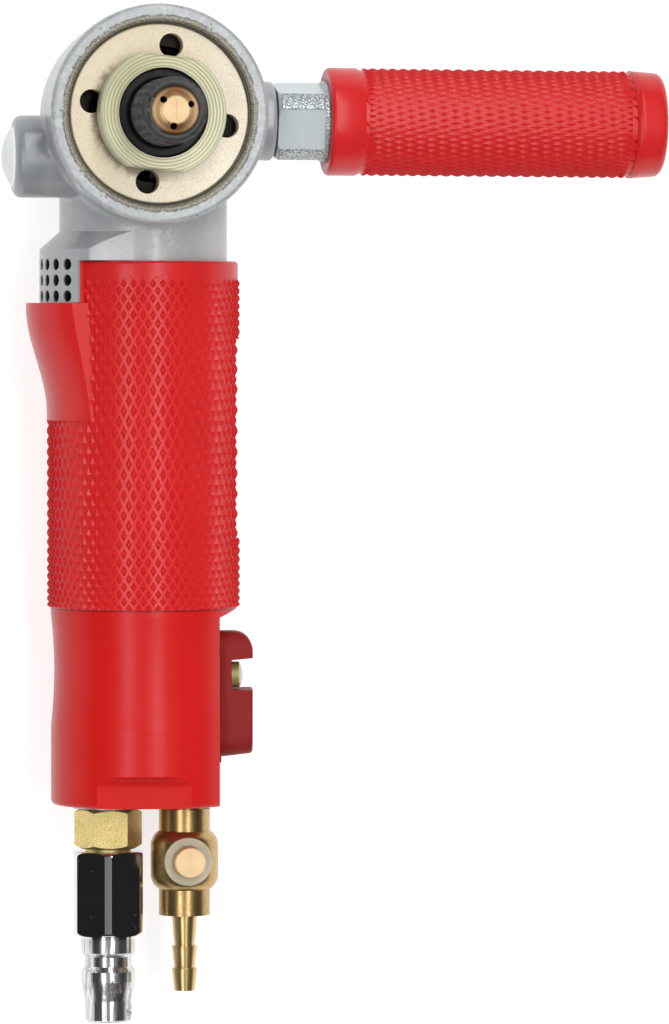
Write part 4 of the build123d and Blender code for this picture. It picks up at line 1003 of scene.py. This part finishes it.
spool_low, spool_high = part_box("water_valve_spool")
spool_centre = (spool_low + spool_high) / 2
dress(brass("drawn_brass", srgb(234, 214, 150), srgb(206, 184, 118), 0.36, 0.3, 0.5), "inlet_nipple")
dress(brass("satin_brass", srgb(202, 172, 120), srgb(176, 144, 94), 0.24, 0.6, 0.3),
      "water_valve_body", "water_elbow", "water_tube", "throttle_bush", "throttle_stem")
dress(brass("bright_brass", srgb(226, 198, 142), srgb(204, 172, 112), 0.24, 1.2, 0.1), "hose_barb")
dress(lathe_brass("nozzle_brass", (0.0, 0.0), srgb(226, 186, 136), srgb(128, 86, 46), 0.42,
                  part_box("water_nozzle")[1].z), "water_nozzle")
dress(lathe_brass("pin_brass", spool_centre, srgb(238, 212, 172), srgb(196, 160, 116), 0.6, spool_high.z),
      "water_valve_spool")

# %% [markdown]
# ## Bright metal
# The air plug is chrome plated: a mirror, so it shows the dark studio overhead and the white floor below.
# Couplers have worn and scratched its nose, and rust has started in two spots. The stud of the side handle
# is a zinc plated bar: its milled flats are smooth and its round corners keep the rough skin of the rolled
# bar, which a mask on the distance to its axis finds.

# %% Chrome
plug_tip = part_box("air_plug")[0].y / mm
rust_spots = ((-7.9, -210.0, -34.2), (-4.4, -216.0, -36.4))


def stretched(finish, x, y, z):
    """The place, drawn out so that a pattern on it becomes long in some directions."""
    return finish.node("ShaderNodeVectorMath", {"operation": "MULTIPLY"}, {0: place(finish), 1: (x, y, z)})


def spot(finish, centre, size):
    """Ragged spot around a point, size millimetres across."""
    ends = {0: place(finish), 1: centre}
    away = finish.node("ShaderNodeVectorMath", {"operation": "DISTANCE"}, ends, "Value")
    return ease(finish, away + size * (noise(finish, 1.0, 4.0) - 0.5), size * 0.55, size * 0.35)


def chrome():
    """Chrome plate with dust, a worn and scratched nose, and two spots of rust."""
    finish = Finish("chrome", {})
    from_tip = along(finish, "Y", plug_tip)
    nose = ease(finish, from_tip, 20.6, 19.8)
    scratches = ease(finish, noise(finish, 0.5, 3.0, stretched(finish, 1.0, 0.06, 1.0)), 0.4, 0.65) * nose
    rust = spot(finish, rust_spots[0], 4.6) + spot(finish, rust_spots[1], 4.2)
    rust = rust * ease(finish, noise(finish, 0.5, 4.0), 0.46, 0.56)
    dust = specks(finish, 1.5, 0.3, 0.22)
    plate = blend(finish, noise(finish, 6.0), srgb(222, 224, 226), srgb(204, 206, 209))
    plate = blend(finish, scratches * 0.6, plate, srgb(112, 112, 110))
    plate = blend(finish, rust * 0.9, plate, srgb(104, 58, 44))
    finish.feed("Base Color", plate)
    finish.feed("Metallic", 1.0 - 0.8 * rust - 0.45 * dust - 0.06 * nose)
    finish.feed("Roughness", 0.09 + 0.06 * noise(finish, 1.5) + 0.08 * nose + 0.3 * rust)
    emboss(finish, noise(finish, 3.0, 2.0) + 0.6 * scratches + rust, 0.012)
    return finish


dress(chrome(), "air_plug")

# %% Zinc bar and small metal
stud_flats = 8.2


def zinc_bar():
    """Zinc plated bar: smooth milled flats, and rough rolled skin on the round corners."""
    finish = Finish("zinc_steel", {"Metallic": 0.45})
    out = radius(along(finish, "Y", side_y / mm), along(finish, "Z", side_z / mm))
    skin = ease(finish, out, stud_flats + 1.25, stud_flats + 1.5)
    rough = ease(finish, noise(finish, 0.36, 3.0), 0.42, 0.6)
    brushed = noise(finish, 0.5, 2.0, stretched(finish, 1.0, 0.12, 0.12))
    zinc = blend(finish, brushed, srgb(218, 226, 228), srgb(198, 209, 212))
    zinc = blend(finish, specks(finish, 1.3, 0.36, 0.22) * 0.5, zinc, srgb(126, 134, 136))
    zinc = blend(finish, skin * rough * 0.8, zinc, srgb(84, 86, 88))
    finish.feed("Base Color", zinc)
    finish.feed("Roughness", 0.42 - 0.14 * skin)
    emboss(finish, 0.25 * brushed + skin * rough, 0.06)
    return finish


def plain_metal(name, light, dark, shine, grain, metallic=0.9):
    """Even metal with a fine grain."""
    finish = Finish(name, {"Metallic": metallic})
    finish.feed("Base Color", blend(finish, noise(finish, grain * 4), light, dark))
    finish.feed("Roughness", shine + 0.12 * noise(finish, grain))
    emboss(finish, noise(finish, grain, 2.0), 0.01)
    return finish


screw_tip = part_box("throttle_screw")[1].x / mm


def screw_zinc():
    """Yellow zinc on the screw's head, bare silver on its dome."""
    finish = Finish("screw_zinc", {"Metallic": 0.35})
    dome = ease(finish, along(finish, "X"), screw_tip - 1.15, screw_tip - 0.95)
    yellow = blend(finish, noise(finish, 1.2), srgb(222, 216, 156), srgb(176, 170, 104))
    finish.feed("Base Color", blend(finish, dome, yellow, srgb(206, 210, 206)))
    finish.feed("Roughness", 0.22 + 0.15 * noise(finish, 0.7))
    emboss(finish, noise(finish, 0.5), 0.01)
    return finish


cap_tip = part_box("boss_cap")[0].x / mm


def silver_cap():
    """Satin silver cap with a painted highlight on its edge."""
    finish = Finish("silver_cap", {"Metallic": 0.3})
    # painted highlight on the cap's edge near its base
    edge = ease(finish, along(finish, "X"), cap_tip + 2.0, cap_tip + 2.3)
    silver = blend(finish, noise(finish, 1.6), srgb(220, 223, 225), srgb(230, 233, 234))
    finish.feed("Base Color", blend(finish, edge, silver, srgb(244, 245, 246)))
    finish.feed("Roughness", 0.3 + 0.1 * noise(finish, 1.0))
    emboss(finish, noise(finish, 0.8, 2.0), 0.008)
    return finish


dress(zinc_bar(), "side_handle_stud")
dress(screw_zinc(), "throttle_screw")
dress(silver_cap(), "boss_cap")
dress(plain_metal("washer_metal", srgb(196, 194, 188), srgb(170, 168, 160), 0.35, 0.8), "inlet_washer")

# %% [markdown]
# ## Nylon, and the pieces inside
# The valve's pin slides in rings of cream-white nylon. The pieces inside hardly show, but each still gets
# the finish of its stuff: dark oiled bearing steel, dark gears, grey cast plates, brown composite vanes.

# %% Nylon and inner pieces
def moulded(name, light, dark, shine, grain):
    """Plain moulded or pressed stuff with a fine grain."""
    finish = Finish(name, {})
    finish.feed("Base Color", blend(finish, noise(finish, grain * 4), light, dark))
    finish.feed("Roughness", shine + 0.15 * noise(finish, grain))
    emboss(finish, noise(finish, grain, 2.0), 0.015)
    return finish


bearings = [name for name in nodes if name.endswith(("_race", "_balls"))]
dress(moulded("white_nylon", srgb(198, 190, 166), srgb(178, 168, 140), 0.42, 0.8),
      "valve_bush_front", "valve_bush_rear")
dress(moulded("gasket_fibre", srgb(140, 128, 112), srgb(116, 104, 90), 0.7, 0.5), "cover_gasket")
dress(moulded("vane_composite", srgb(150, 112, 82), srgb(126, 90, 64), 0.5, 0.6), "rotor_vanes")
dress(plain_metal("cast_plate", srgb(160, 160, 162), srgb(136, 136, 140), 0.45, 0.8),
      "front_end_plate", "rear_end_plate", "motor_cylinder")
dress(plain_metal("gear_steel", srgb(120, 120, 124), srgb(88, 88, 92), 0.3, 0.9),
      "bevel_gear", "gear_nut", "drive_pinion", "rotor")
dress(plain_metal("bearing_steel", srgb(38, 35, 31), srgb(22, 20, 18), 0.4, 1.0), *bearings)

# %% [markdown]
# ## End
# The script ends by saying that the dressing is done. The dressed tool has to stay inside the box of its
# solids.

# %% End
print("dressing done")
